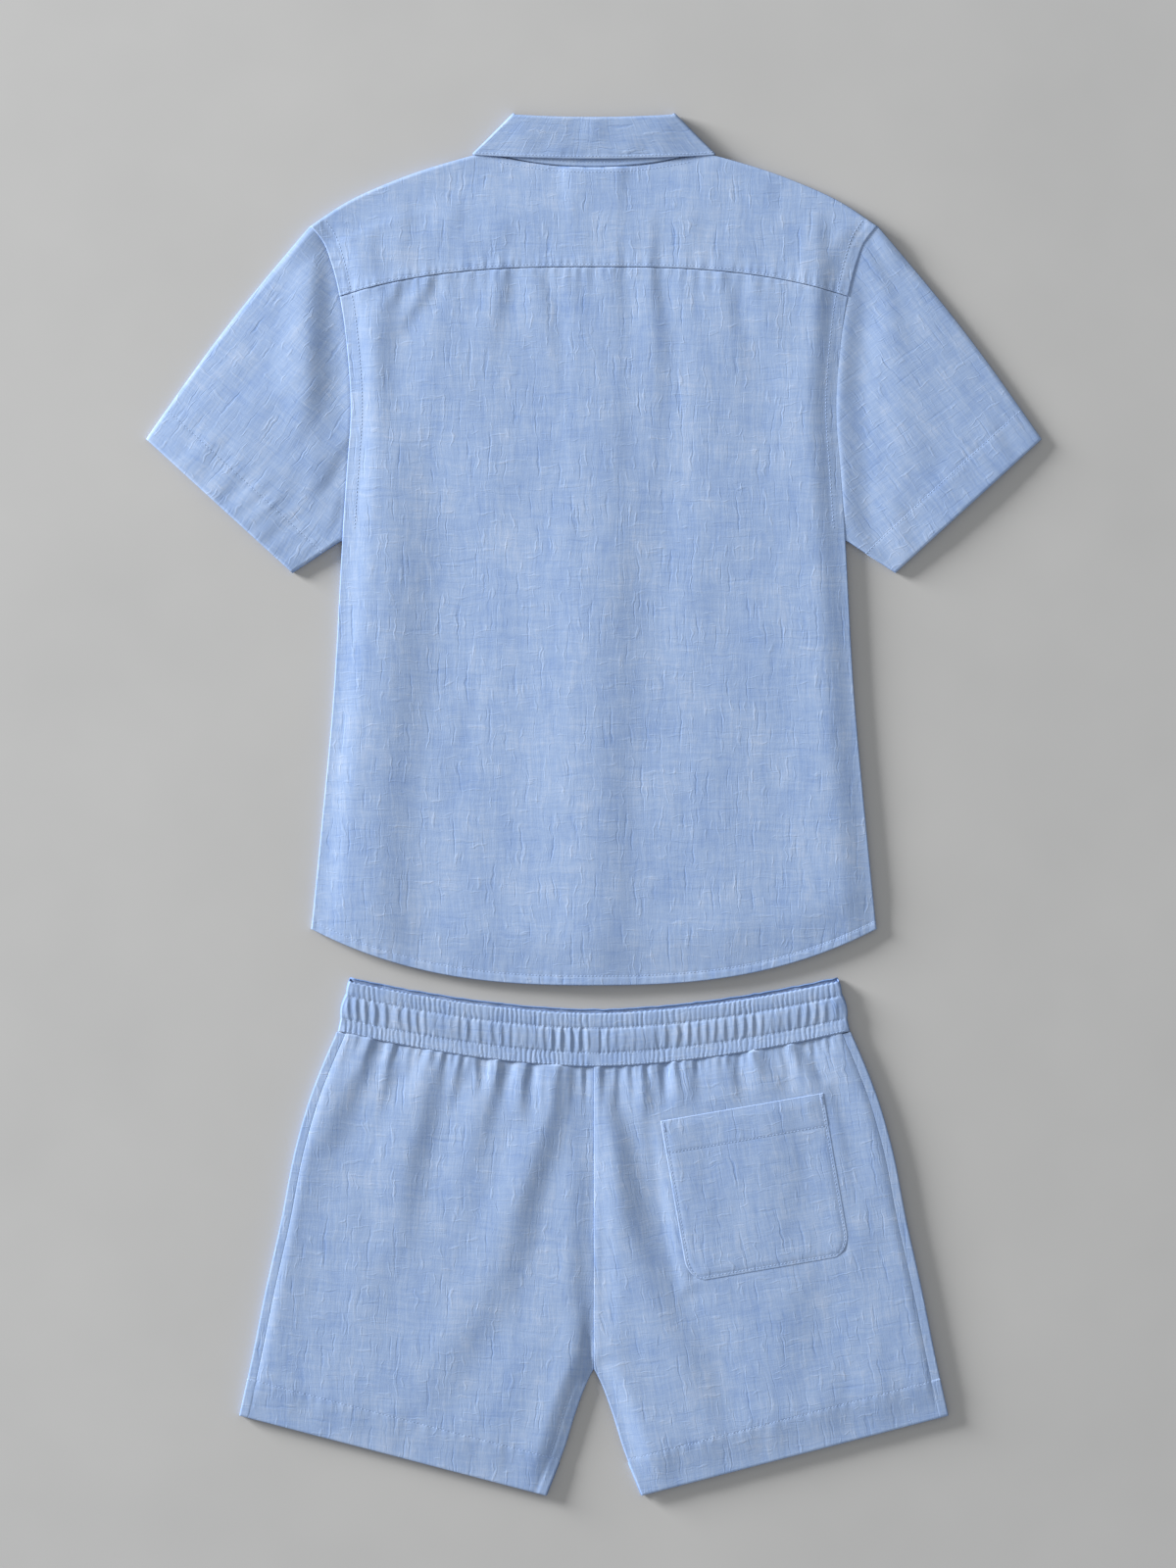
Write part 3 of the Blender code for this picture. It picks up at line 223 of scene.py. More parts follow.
# Shorts, outline and heights
BAND_TOP_HALF = 209.2
BAND_BOTTOM_HALF = 218.8
BAND_TOP_RISE = 27.0
BAND_BOTTOM_MID = -45.6
BAND_BOTTOM_SIDE = -15.5
BAND_BOW = 1.7
CROTCH_Y = -303.6
OUTSEAM = (  # y, x
    (-343.0, 302.3), (-298.0, 292.3), (-232.0, 278.9), (-180.0, 267.2), (-113.0, 253.8),
    (-68.0, 240.5), (-40.0, 229.5), (BAND_BOTTOM_SIDE, BAND_BOTTOM_HALF),
)
INSEAM = ((-411.3, 40.7), (-369.6, 24.6), (-339.0, 15.0), (-312.0, 4.5), (CROTCH_Y, SEAM / 2))  # y, x
SIDE_TURN = 7.5
LEG_ROWS = (  # y at the side, y at the inner edge
    (BAND_BOTTOM_SIDE - SEAM, BAND_BOTTOM_MID - SEAM), (-21.0, -53.0), (-32.0, -66.0), (-50.0, -88.0),
    (-80.0, -122.0), (-118.0, -165.0), (-158.0, -212.0), (-200.0, -258.0), (-243.0, CROTCH_Y),
    (-277.0, -340.0), (-309.5, -378.5), (-311.0, -380.0), (-343.0, -411.3),
)
LEG_HEM = 32.0
CENTRE_HEIGHT = 3.4
CENTRE_SOFTNESS = 24.0
OUTSEAM_HEIGHT = 3.6
OUTSEAM_SOFTNESS = 14.0
LEG_HEM_SOFTNESS = 40.0
INSEAM_RAMP = 14.0
GATHER_DEPTH = 95.0
GATHER_RAMP = 50.0
GATHER_PITCH = 22.6
LEFT_LEG_CREASES = (
    ((-184, -26, 8.97, 0.97), (-190, -42, 8.97, 1.17), (-200, -60, 12.88, 1.61), (-212, -85, 12.88, 1.61),
     (-220, -105, 14.72, 1.48), (-232, -125, 14.72, 0.76), (-240, -150, 14.72, 0.66),
     (-248, -180, 14.72, 0.57), (-250, -230, 14.72, 0.48), (-256, -275, 14.72, 0.29),
     (-260, -310, 14.72, 0)),
    ((-164, -32, 6.75, 0.93), (-170, -50, 6.75, 1.06), (-179, -72, 6.75, 0.68), (-184, -90, 6.75, 0)),
    ((-129, -34, 6.72, 0.86), (-131, -46, 6.72, 0.98), (-137, -70, 9.94, 1.34), (-143, -100, 11.59, 1.74),
     (-149, -125, 13.25, 1.88), (-152, -150, 13.25, 1.49), (-160, -190, 13.25, 0.67),
     (-172, -215, 14.9, 0.58), (-180, -245, 14.9, 0.42), (-188, -290, 14.9, 0)),
    ((-109, -36, 6.75, 0.8), (-111, -48, 6.75, 0.93), (-118, -70, 6.75, 0.54), (-122, -86, 6.75, 0)),
    ((-79, -40, 6.75, 0.8), (-82, -60, 6.75, 0.93), (-88, -85, 6.75, 0.8), (-93, -110, 8.1, 0.54),
     (-96, -140, 8.1, 0)),
    ((-58, -42, 5.4, 1.06), (-58, -60, 5.4, 1.22), (-58, -85, 6.75, 0.8), (-57, -105, 6.75, 0)),
    ((-26, -44, 6.72, 1), (-28, -62, 9.94, 1.66), (-31, -85, 9.94, 1.79), (-38, -110, 11.59, 2.07),
     (-48, -140, 11.59, 2.21), (-55, -165, 13.25, 2.21), (-62, -200, 14.9, 1.64), (-75, -235, 16.56, 1.11),
     (-88, -262, 18.22, 1.03), (-108, -290, 19.87, 0.84), (-124, -320, 19.87, 0.55),
     (-140, -348, 19.87, 0)),
    ((-7, -245, 3.89, 0), (-8, -265, 6.48, 0.69), (-9, -285, 9.07, 1.12), (-12, -305, 10.37, 1.2),
     (-16, -325, 10.37, 1.12), (-27, -360, 10.37, 0.94), (-45, -400, 11.66, 0.77),
     (-52, -412, 11.66, 0.77)),
    ((-283, -296, 9.07, 0), (-287, -325, 9.07, 0.34), (-290, -345, 9.07, 0.26)),
    ((-252, -305, 9.07, 0), (-255, -332, 9.07, 0.43), (-258, -352, 9.07, 0.26)),
    ((-225, -322, 7.78, 0), (-228, -342, 9.07, 0.34), (-231, -360, 9.07, 0.26)),
    ((-195, -316, 9.07, 0), (-199, -345, 9.07, 0.43), (-203, -368, 9.07, 0.26)),
    ((-166, -334, 9.07, 0), (-170, -355, 10.37, 0.34), (-173, -375, 9.07, 0.26)),
    ((-114, -346, 10.37, 0), (-108, -372, 10.37, 0.43), (-106, -395, 10.37, 0.26)),
    ((-84, -352, 7.78, 0), (-80, -380, 7.78, 0.26), (-78, -402, 7.78, 0.26)),
    ((-12, -190, 7, 0), (-11, -225, 7, 0.3), (-9, -255, 6, 0.4), (-8, -285, 6, 0)),
)
RIGHT_LEG_CREASES = (
    ((11, -46, 6.99, 1.47), (13, -60, 6.99, 1.63), (16, -80, 8.38, 1.95), (24, -110, 11.19, 2.61),
     (32, -150, 13.98, 3.1), (40, -185, 16.78, 3.26), (52, -215, 16.78, 2.16), (62, -245, 16.78, 1.68),
     (78, -275, 16.78, 1.32), (90, -305, 15.38, 1.08), (105, -340, 13.98, 0.72), (110, -385, 13.98, 0.36)),
    ((53, -40, 5.4, 0.92), (51, -52, 5.4, 1.06), (47, -75, 6.75, 0.92), (45, -100, 6.75, 0.8),
     (50, -125, 6.75, 0.67), (56, -155, 8.1, 0)),
    ((82, -38, 6.75, 1.06), (82, -50, 6.75, 1.19), (83, -65, 6.75, 0.92), (80, -84, 6.75, 0)),
    ((114, -34, 5.4, 0.8), (117, -52, 5.4, 0.92), (121, -72, 5.4, 0.53), (124, -86, 5.4, 0)),
    ((146, -28, 6.75, 1.19), (150, -45, 8.1, 1.32), (156, -60, 8.1, 1.06), (163, -78, 8.1, 0.41),
     (166, -90, 8.1, 0)),
    ((170, -22, 6.75, 1.19), (178, -38, 6.75, 1.32), (188, -54, 8.1, 1.32), (198, -68, 8.1, 1.19),
     (205, -90, 8.1, 1.06), (210, -112, 8.1, 0.92), (213, -150, 8.1, 0.53), (214, -185, 8.1, 0)),
    ((25, -46, 4.16, 0.59), (27, -62, 4.16, 0.35), (28, -74, 4.16, 0)),
    ((37, -44, 4.16, 0.59), (38, -58, 4.16, 0.35), (39, -70, 4.16, 0)),
    ((185, -205, 20.74, 0), (182, -235, 20.74, 0.82), (180, -262, 20.74, 0.82), (176, -300, 18.14, 0.36),
     (174, -330, 18.14, 0)),
    ((64, -350, 7.78, 0), (65, -376, 7.78, 0.45), (66, -402, 7.78, 0.36)),
    ((136, -335, 7.78, 0), (136, -360, 7.78, 0.45), (137, -385, 7.78, 0.36)),
    ((157, -326, 7.78, 0), (158, -358, 7.78, 0.32), (160, -380, 7.78, 0.27)),
    ((205, -296, 10.37, 0), (207, -332, 10.37, 0.36), (210, -365, 10.37, 0.27)),
    ((243, -280, 10.37, 0), (250, -318, 10.37, 0.45), (255, -352, 10.37, 0.27)),
)
POCKET_CREASES = (  # through the pocket and the leg under it
    ((165, -72, 14.3, 0), (165, -95, 15.4, 0.65), (166, -140, 15.4, 0.78), (168, -180, 15.4, 0.59),
     (172, -215, 15.4, 0.2), (174, -235, 15.4, 0)),
    ((190, -62, 4.4, 0), (187, -78, 4.4, 0.33), (191, -95, 4.4, 0.2), (192, -108, 4.4, 0)),
    ((95, -110, 13.2, 0), (97, -150, 13.2, 0.26), (100, -200, 13.2, 0)),
)

LEG_WIDTH = 250.0  # about, for the spacing of its columns

# Shorts, waistband
BAND_WALL = 2.2
BAND_RADIUS = 1.3
BAND_HEIGHT = 2 * BAND_WALL + SEAM + 0.9
BAND_PEEP = 3.4
BAND_DEPTH = 45.0
BAND_ROWS = (12.5, 33.5)  # how far down its two stitch lines run

# Shorts, back pocket
POCKET_CORNER = (56.8, -91.8)
POCKET_WIDTH = 140.6
POCKET_DEPTH = 140.0
POCKET_TILT = math.radians(9.8)
POCKET_ROUND = 20.0
POCKET_TRIM = 0.85
POCKET_HEM = 28.0
POCKET_CALM = 0.8
POCKET_CALM_RAMP = 14.0

# Finishes, in linear light
DEEP_BLUE = (0.228, 0.350, 0.635)  # the darkest threads
CLEAR_BLUE = (0.350, 0.472, 0.712)
PALE_BLUE = (0.515, 0.605, 0.785)  # the lightest threads
WORN_BLUE = (0.55, 0.65, 0.83)  # along hems and edges
PAINTED_RIM_SHADE_BLUE = (0.13, 0.23, 0.48)  # painted shade where cloth turns steeply away from view round its folded edges, darkening the rims that the low window lights
SHADE = 0.445  # the cloth's middle on the way from the darkest threads to the lightest
THREAD_PITCH = 0.0011

# Light and camera
WINDOW = (-7.6, 3.8, 1.45)
WINDOW_SIZE = (3.0, 1.9)
WINDOW_WATTS = 2190.0
SKY = (0.96, 0.98, 1.0)
SKY_STRENGTH = 0.46
CAMERA = (-0.005, 0.0175, 3.716)
LENS = 100.0


# Numbers and curves


def ease(t):
    """0 to 1 with level ends."""
    t = np.clip(t, 0.0, 1.0)
    return t * t * (3.0 - 2.0 * t)


def mix(a, b, t):
    return a + (b - a) * t


def smooth(table, at):
    """Reads a smooth curve through a table's rows of (place, value)."""
    places, values = np.array(sorted(table), float).T
    slopes = np.gradient(values, places)
    at = np.clip(np.asarray(at, float), places[0], places[-1])
    i = np.clip(np.searchsorted(places, at, side="right") - 1, 0, len(places) - 2)
    step = places[i + 1] - places[i]
    t = (at - places[i]) / step
    start = (1 + 2 * t) * (1 - t) ** 2 * values[i] + t * (1 - t) ** 2 * step * slopes[i]
    end = t * t * (3 - 2 * t) * values[i + 1] - t * t * (1 - t) * step * slopes[i + 1]
    return start + end


def creases(table, x, y):
    """Adds up soft folds, which rise slowly on both sides and fall to the right between."""
    relief = np.zeros(np.broadcast(x, y).shape)
    for chain in table:
        across, down, half, fall = np.array(chain, float).T[:, ::-1]
        away = x - smooth(list(zip(down, across)), y)
        half, fall = np.interp(y, down, half), np.interp(y, down, fall)
        reach = 3.0 * half + 6
        steep = np.sin(math.pi / 2 * np.clip(away / half, -1, 1))
        relief = relief - fall / 2 * steep * ease((reach - np.abs(away)) / (reach - half))
    return relief


def crumple(x, y, size, seed):
    """Smooth random heights from -1 to 1, in hills of about that size."""
    count = 64
    lattice = np.random.default_rng(seed).uniform(-1, 1, (count, count))
    x, y = np.broadcast_arrays(np.asarray(x, float) / size, np.asarray(y, float) / size)
    i, j = np.floor(x).astype(int), np.floor(y).astype(int)
    s, t = ease(x - i), ease(y - j)
    i, j, k, m = i % count, j % count, (i + 1) % count, (j + 1) % count
    return mix(mix(lattice[i, j], lattice[k, j], s), mix(lattice[i, m], lattice[k, m], s), t)


def ripples(along, pitch, seed):
    """Uneven waves from -1 to 1 along a seam."""
    drift = crumple(along, 0.0, 2.6 * pitch, seed)
    swell = 0.55 + 0.45 * crumple(along, 0.0, 1.7 * pitch, seed + 1)
    return swell * np.cos(2 * math.pi * (np.asarray(along) / pitch + 0.6 * drift))


def tucks(along, down, pitch, seed, steep):
    """Uneven valleys from 0 to 1 that fall in steeply on their left and rise slowly to the right."""
    phase = along / pitch + 0.5 * crumple(along, 0.0, 3.4 * pitch, seed)
    phase = phase + 0.1 * crumple(along, down, 1.3 * pitch, seed + 1)
    part = phase - np.floor(phase)
    deep = 0.5 + 0.5 * crumple(along, 0.35 * down, 1.9 * pitch, seed + 2)
    return deep * np.where(part > 1 - steep, ease((part - 1 + steep) / steep), ease(1 - part / 0.75))


def bell(away, width):
    """1 along the middle of a narrow ridge or groove, falling to 0 on both sides."""
    return np.exp(-((away / width) ** 2))


def soft_max(a, b, softness):
    return (a + b + np.sqrt((a - b) ** 2 + softness**2)) / 2


def rounded(distance, radius):
    """How far a rounded edge has come down, from 1 at the edge to 0 one radius in."""
    t = np.clip(distance / radius, 0.0, 1.0)
    return 1 - np.sqrt(1 - (1 - t) ** 2)


def points(x, y, z):
    return np.stack(np.broadcast_arrays(x, y, z), axis=-1).astype(float)


def unit(vector):
    return np.array(vector) / np.hypot(*vector)


def spread(start, end, step):
    """Even places from start to end, about a step apart."""
    return np.linspace(start, end, max(2, int(round(abs(end - start) / step)) + 1))


# Finishes


def add(tree, kind, **values):
    """Adds a node, sets its properties and sockets, and links a socket that is given another's output."""
    made = tree.nodes.new(kind)
    for name, value in values.items():
        name = name.replace("_", " ") if name[0].isupper() else name
        if name[0].isupper() or name.isdigit():
            socket = made.inputs[int(name)] if name.isdigit() else made.inputs[name]
            if isinstance(value, bpy.types.NodeSocket):
                tree.links.new(value, socket)
            else:
                socket.default_value = value
        else:
            setattr(made, name, value)
    return made


def reckon(tree, operation, a, b=0.0):
    """The result of a sum on one or two numbers or outputs."""
    return add(tree, "ShaderNodeMath", operation=operation, **{"0": a, "1": b}).outputs[0]


def blend(tree, *parts):
    """Adds up (output, weight) pairs."""
    value = None
    for output, weight in parts:
        weighed = reckon(tree, "MULTIPLY", output, weight)
        value = weighed if value is None else reckon(tree, "ADD", value, weighed)
    return value


def noise(tree, where, scale, detail=1.0, distortion=0.0):
    """Noise whose cells are 1 / scale of a metre across and down."""
    placed = add(tree, "ShaderNodeMapping", Vector=where, Scale=(*scale, 1)).outputs[0]
    made = add(
        tree, "ShaderNodeTexNoise",
        Vector=placed, Scale=1.0, Detail=detail, Roughness=0.55, Distortion=distortion,
    )
    return made.outputs["Fac"]


def wander(tree, where, scale, reach):
    """The same place moved about by up to half that reach, so that threads don't run dead straight."""
    made = add(tree, "ShaderNodeTexNoise", Vector=where, Scale=scale, Detail=1.0, Roughness=0.5)
    centred = add(
        tree, "ShaderNodeVectorMath",
        operation="SUBTRACT", **{"0": made.outputs["Color"], "1": (0.5, 0.5, 0.5)},
    ).outputs[0]
    moved = add(
        tree, "ShaderNodeVectorMath", operation="MULTIPLY", **{"0": centred, "1": (reach, reach, 0.0)}
    ).outputs[0]
    return add(tree, "ShaderNodeVectorMath", operation="ADD", **{"0": where, "1": moved}).outputs[0]


def peaks(tree, value):
    """0 nearly everywhere and 1 along the noise's crests: sparse lines."""
    return add(
        tree, "ShaderNodeMapRange", Value=value, interpolation_type="SMOOTHSTEP", **{"1": 0.62, "2": 0.74}
    ).outputs[0]


def wave(tree, along, pitch):
    """A sine across the threads."""
    return reckon(tree, "SINE", reckon(tree, "MULTIPLY", along, 2 * math.pi / pitch))


def two_tones(tree, value, dark, light, start=0.0, end=1.0):
    """A ramp from one colour to another."""
    ramp = add(tree, "ShaderNodeValToRGB", Fac=value)
    ends = ramp.color_ramp.elements
    ends[0].position, ends[0].color = start, (*dark, 1)
    ends[1].position, ends[1].color = end, (*light, 1)
    return ramp


def new_finish(name):
    """A new material with its nodes and its shader."""
    made = bpy.data.materials.new(name)
    made.use_nodes = True
    return made, made.node_tree, made.node_tree.nodes["Principled BSDF"]


def dyed(colour, tone):
    return tuple(part * tone for part in colour)


def chambray(name, tone=1.0):
    """Pale blue linen chambray: slubs along warp and weft, a heathered ground, crinkles and the weave."""
    made, tree, shader = new_finish(name)
    straight = add(tree, "ShaderNodeUVMap", uv_map="grain").outputs[0]
    grain = wander(tree, wander(tree, straight, 24, 0.007), 130, 0.003)
    warp_slubs = noise(tree, grain, (430, 30), 2.0)
    warp_threads = noise(tree, grain, (1300, 60))
    weft_slubs = noise(tree, grain, (34, 400), 2.0)
    weft_threads = noise(tree, grain, (80, 1200))
    heather = noise(tree, grain, (150, 120), 2.0)
    warp_blocks = noise(tree, grain, (70, 20))
    weft_blocks = noise(tree, grain, (18, 64))
    cloud = noise(tree, grain, (15, 11))
    # painted shade: sparse thin crease lines, darker in colour as well as sunk in the bump
    warp_lines = peaks(tree, noise(tree, grain, (300, 22)))
    weft_lines = peaks(tree, noise(tree, grain, (22, 300)))
    # painted highlight: paler lines along the crests of fine crinkles, also raised in the bump
    wrinkled = wander(tree, grain, 90, 0.006)
    upright = peaks(tree, noise(tree, wrinkled, (270, 42)))
    level = peaks(tree, noise(tree, wrinkled, (46, 280)))

    shades = (
        (warp_slubs, 0.55), (warp_threads, 0.26), (weft_slubs, 0.44), (weft_threads, 0.22), (heather, 0.34),
        (warp_blocks, 0.44), (weft_blocks, 0.34), (cloud, 0.34), (warp_lines, -0.16), (weft_lines, -0.07),
        (upright, 0.12), (level, 0.11),
    )
    middle = SHADE - sum(weight for _, weight in shades) / 2
    ramp = two_tones(
        tree, reckon(tree, "ADD", blend(tree, *shades), middle), dyed(DEEP_BLUE, tone), dyed(PALE_BLUE, tone)
    )
    ramp.color_ramp.elements.new(0.5).color = (*dyed(CLEAR_BLUE, tone), 1)
    worn = add(tree, "ShaderNodeAttribute", attribute_name="worn").outputs["Fac"]
    pale = add(tree, "ShaderNodeMix", data_type="RGBA", **{"Factor": worn, "6": ramp.outputs[0]})
    pale.inputs[7].default_value = (*dyed(WORN_BLUE, tone), 1)
    # painted shade: faces that turn steeply away round a fold are mixed towards a dark blue, holding down the
    # rims that the low window lights
    turned = add(tree, "ShaderNodeAttribute", attribute_name="turned").outputs["Fac"]
    deep = add(tree, "ShaderNodeMix", data_type="RGBA", **{"Factor": turned, "6": pale.outputs[2]})
    deep.inputs[7].default_value = (*dyed(PAINTED_RIM_SHADE_BLUE, tone), 1)
    tree.links.new(deep.outputs[2], shader.inputs["Base Color"])

    split = add(tree, "ShaderNodeSeparateXYZ", Vector=straight)
    across, along = wave(tree, split.outputs[0], THREAD_PITCH), wave(tree, split.outputs[1], THREAD_PITCH)
    relief = blend(
        tree, (reckon(tree, "MULTIPLY", across, along), 0.00002), (warp_threads, 0.00004),
        (weft_threads, 0.00003), (warp_slubs, 0.00008), (weft_slubs, 0.00006), (heather, 0.00006),
        (upright, 0.00008), (level, 0.00007), (warp_lines, -0.00009), (weft_lines, -0.00004),
        (warp_blocks, 0.00010),
    )
    bump = add(tree, "ShaderNodeBump", Strength=1.0, Distance=1.0, Height=relief)
    tree.links.new(bump.outputs[0], shader.inputs["Normal"])
    shader.inputs["Roughness"].default_value = 0.88
    shader.inputs["Specular IOR Level"].default_value = 0.2
    shader.inputs["Sheen Weight"].default_value = 0.06
    shader.inputs["Sheen Roughness"].default_value = 0.5
    return made


def thread_finish():
    made, tree, shader = new_finish("sewing thread")
    where = add(tree, "ShaderNodeTexCoord").outputs["Object"]
    ramp = two_tones(tree, noise(tree, where, (900, 900)), (0.30, 0.43, 0.69), (0.46, 0.58, 0.80))
    tree.links.new(ramp.outputs[0], shader.inputs["Base Color"])
    shader.inputs["Roughness"].default_value = 0.7
    shader.inputs["Sheen Weight"].default_value = 0.1
    return made


def button_finish():
    made, tree, shader = new_finish("pearl button")
    where = add(tree, "ShaderNodeTexCoord").outputs["Object"]
    swirl = noise(tree, where, (260, 90), 2.0, 2.0)
    ramp = two_tones(tree, swirl, (0.70, 0.71, 0.72), (0.86, 0.87, 0.87))
    tree.links.new(ramp.outputs[0], shader.inputs["Base Color"])
    shader.inputs["Roughness"].default_value = 0.32
    return made


SHIRT_CLOTH = chambray("shirt chambray")
COLLAR_CLOTH = chambray("collar chambray", 0.92)
BAND_CLOTH = chambray("waistband chambray", 0.93)
SHORTS_CLOTH = chambray("shorts chambray", 0.975)
THREAD = thread_finish()
PEARL = button_finish()


# Making pieces


def deselect():
    for obj in bpy.context.selected_objects:
        obj.select_set(False)


def own(piece, slot, *nodes):
    """The piece rides with the garments and stands for its nodes. Its slot is not used."""
    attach(piece, "root")
    if nodes:
        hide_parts(*nodes)
    return piece


def turned_grain(x, y, turn=0.0, aside=0.0):
    """Where each point lies along weft and warp, in metres, on a panel cut at a turn to the garment."""
    cos, sin = math.cos(math.radians(turn)), math.sin(math.radians(turn))
    return np.stack(np.broadcast_arrays(x * cos + y * sin + aside, y * cos - x * sin), axis=-1) * MM


def cloth_sheet(name, grid, up_y, finish, grain, joined=False, cells=None, wall=WEAVE_WALL, worn=None):
    """A thin shell of cloth whose outer face goes through a grid of points, rows x columns x 3.

    joined closes the last column onto the first, and cells says which squares are cloth. The outer face
    has its first column on the left when the rows go away from the viewer."""
    grid = grid + (0.0, up_y, 0.0)
    rows, columns = grid.shape[:2]
    index = np.arange(rows * columns).reshape(rows, columns)
    if joined:
        index = np.concatenate([index, index[:, :1]], axis=1)
        grain = np.concatenate([grain, grain[:, :1]], axis=1) if grain.shape[1] == columns else grain
    corner = [(slice(None, -1), slice(None, -1)), (slice(None, -1), slice(1, None)),
              (slice(1, None), slice(1, None)), (slice(1, None), slice(None, -1))]
    quads = np.stack([index[c] for c in corner], axis=-1)
    grains = np.stack([grain[c] for c in corner], axis=-2)
    if cells is None:
        quads, grains = quads.reshape(-1, 4), grains.reshape(-1, 4, 2)
    else:
        quads, grains = quads[cells], grains[cells]
    used, quads = np.unique(quads, return_inverse=True)
    mesh = bpy.data.meshes.new(name)
    mesh.from_pydata((grid.reshape(-1, 3)[used] * MM).tolist(), [], quads.reshape(-1, 4).tolist())
    mesh.uv_layers.new(name="grain").data.foreach_set("uv", grains.reshape(-1).astype(np.float32))
    wear = np.zeros((rows, columns)) if worn is None else 0.5 * np.broadcast_to(worn, (rows, columns))
    # painted shade: the steeper a face, the more of the dark rim colour it is given
    turned = ease((0.9 - np.abs(faces_up(grid)[..., 2])) / 0.5)
    for kind, values in (("worn", wear), ("turned", 0.85 * turned)):
        values = values.reshape(-1)[used].astype(np.float32)
        mesh.attributes.new(kind, "FLOAT", "POINT").data.foreach_set("value", values)
    mesh.shade_smooth()
    mesh.materials.append(finish)
    piece = bpy.data.objects.new(name, mesh)
    bpy.context.scene.collection.objects.link(piece)
    deselect()
    piece.select_set(True)
    bpy.context.view_layer.objects.active = piece
    thickness = piece.modifiers.new("cloth", "SOLIDIFY")
    thickness.thickness = wall * MM
    thickness.offset = -1.0
    thickness.use_even_offset = False
    bpy.ops.object.modifier_apply(modifier=thickness.name)
    places = np.empty(3 * len(piece.data.vertices), np.float32)
    piece.data.vertices.foreach_get("co", places)
    places[2::3] = np.maximum(places[2::3], 0.0)
    piece.data.vertices.foreach_set("co", places)
    return piece


def stitch_pattern():
    """One stitch, modelled once: a short thread that lies on the cloth and sinks in at both ends."""
    deselect()
    bpy.ops.mesh.primitive_uv_sphere_add(segments=6, ring_count=4, radius=0.5, rotation=(0, math.pi / 2, 0))
    stitch = bpy.context.object
    bpy.ops.object.transform_apply(location=True, rotation=True, scale=True)
    shape = np.array([v.co[:] for v in stitch.data.vertices])
    faces = [list(p.vertices) for p in stitch.data.polygons]
    bpy.data.objects.remove(stitch, do_unlink=True)
    shape[:, 2] -= 0.35 * (2 * shape[:, 0]) ** 2
    return shape, faces


STITCH, STITCH_FACES = stitch_pattern()


def stitch_row(path, normals, pitch=3.0, thick=0.42, share=0.74):
    """Points and faces of one row of stitches along a path on the cloth."""
    path, normals = np.asarray(path, float), np.asarray(normals, float)
    run = np.concatenate([[0.0], np.cumsum(np.linalg.norm(np.diff(path, axis=0), axis=1))])
    count = max(1, int(run[-1] // pitch))
    centres = (np.arange(count) + 0.5) * run[-1] / count

    def at(where, values):
        return np.stack([np.interp(where, run, values[:, k]) for k in range(3)], axis=-1)

    middle = at(centres, path)
    along = at(centres + 0.5, path) - at(centres - 0.5, path)
    along /= np.linalg.norm(along, axis=1)[:, None]
    up = at(centres, normals)
    up -= along * np.sum(along * up, axis=1)[:, None]
    up /= np.linalg.norm(up, axis=1)[:, None]
    beside = np.cross(up, along)
    length = share * run[-1] / count
    local = STITCH * (length, thick, thick)
    placed = (
        middle[:, None] + local[None, :, 0:1] * along[:, None] + local[None, :, 1:2] * beside[:, None]
        + (local[None, :, 2:3] + 0.06) * up[:, None]
    )
    faces = [[v + n * len(STITCH) for v in face] for n in range(count) for face in STITCH_FACES]
    return placed.reshape(-1, 3), faces


def stitching(name, up_y, rows, slot):
    """One piece from several rows of stitches, each (path, normals) or (path, normals, pitch, thick)."""
    vertices, faces = [], []
    for row in rows:
        more, ring = stitch_row(*row)
        start = sum(len(v) for v in vertices)
        vertices.append(more)
        faces += [[v + start for v in face] for face in ring]
    vertices = np.concatenate(vertices) + (0.0, up_y, 0.0)
    vertices[:, 2] = np.maximum(vertices[:, 2], 0.02)
    mesh = bpy.data.meshes.new(name)
    mesh.from_pydata((vertices * MM).tolist(), [], faces)
    mesh.shade_smooth()
    mesh.materials.append(THREAD)
    piece = bpy.data.objects.new(name, mesh)
    bpy.context.scene.collection.objects.link(piece)
    return own(piece, slot)


def faces_up(grid, outward=1.0):
    """The grid's normals, away from the cloth's outer face."""
    across, down = np.gradient(grid, axis=1), np.gradient(grid, axis=0)
    normal = np.cross(across, down) * outward
    return normal / np.maximum(np.linalg.norm(normal, axis=2, keepdims=True), 1e-9)


def row_line(grid, at, first=0, last=None, outward=1.0):
    """A path along a row of a grid, which may lie between two rows."""
    i = int(at)
    part = at - i
    normals = faces_up(grid, outward)
    path, up = mix(grid[i], grid[i + 1], part), mix(normals[i], normals[i + 1], part)
    return path[first:last], up[first:last]


def column_line(grid, at, first=0, last=None, outward=1.0):
    return row_line(np.swapaxes(grid, 0, 1), at, first, last, -outward)


# Shirt, plan and heights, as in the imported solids


def half_width(y):
    return np.where(np.asarray(y) < UNDERARM_Y, smooth(SIDE_SEAM, y), smooth(ARMHOLE, y))


def hem_y(x):
    share = np.clip(np.abs(x) / SIDE_SEAM[0][1], 0, 1)
    return mix(HEM_MID_Y, HEM_SIDE_Y, share**HEM_BOW)


def yoke_seam_y(x):
    share = np.clip(np.abs(x) / smooth(ARMHOLE, YOKE_SIDE_Y), 0, 1)
    return mix(YOKE_MID_Y, YOKE_SIDE_Y, share**YOKE_BOW)


def neck_y(x):
    return NECK_RISE * (np.abs(x) / NECK_HALF) ** 2


def front_neck_y(x):
    across = np.clip(np.abs(x) / NECK_HALF, 0, 1)
    return NECK_RISE - FRONT_NECK_DROP * np.sqrt(1 - across**2)


def front_neck_x(y):
    fall = np.clip((NECK_RISE - y) / FRONT_NECK_DROP, 0, 1)
    return NECK_HALF * np.sqrt(1 - fall**2)


def placket_lift(y):
    return PLACKET_LIFT * ease((y - HEM_MID_Y - LIFT_FROM_HEM) / LIFT_RAMP)


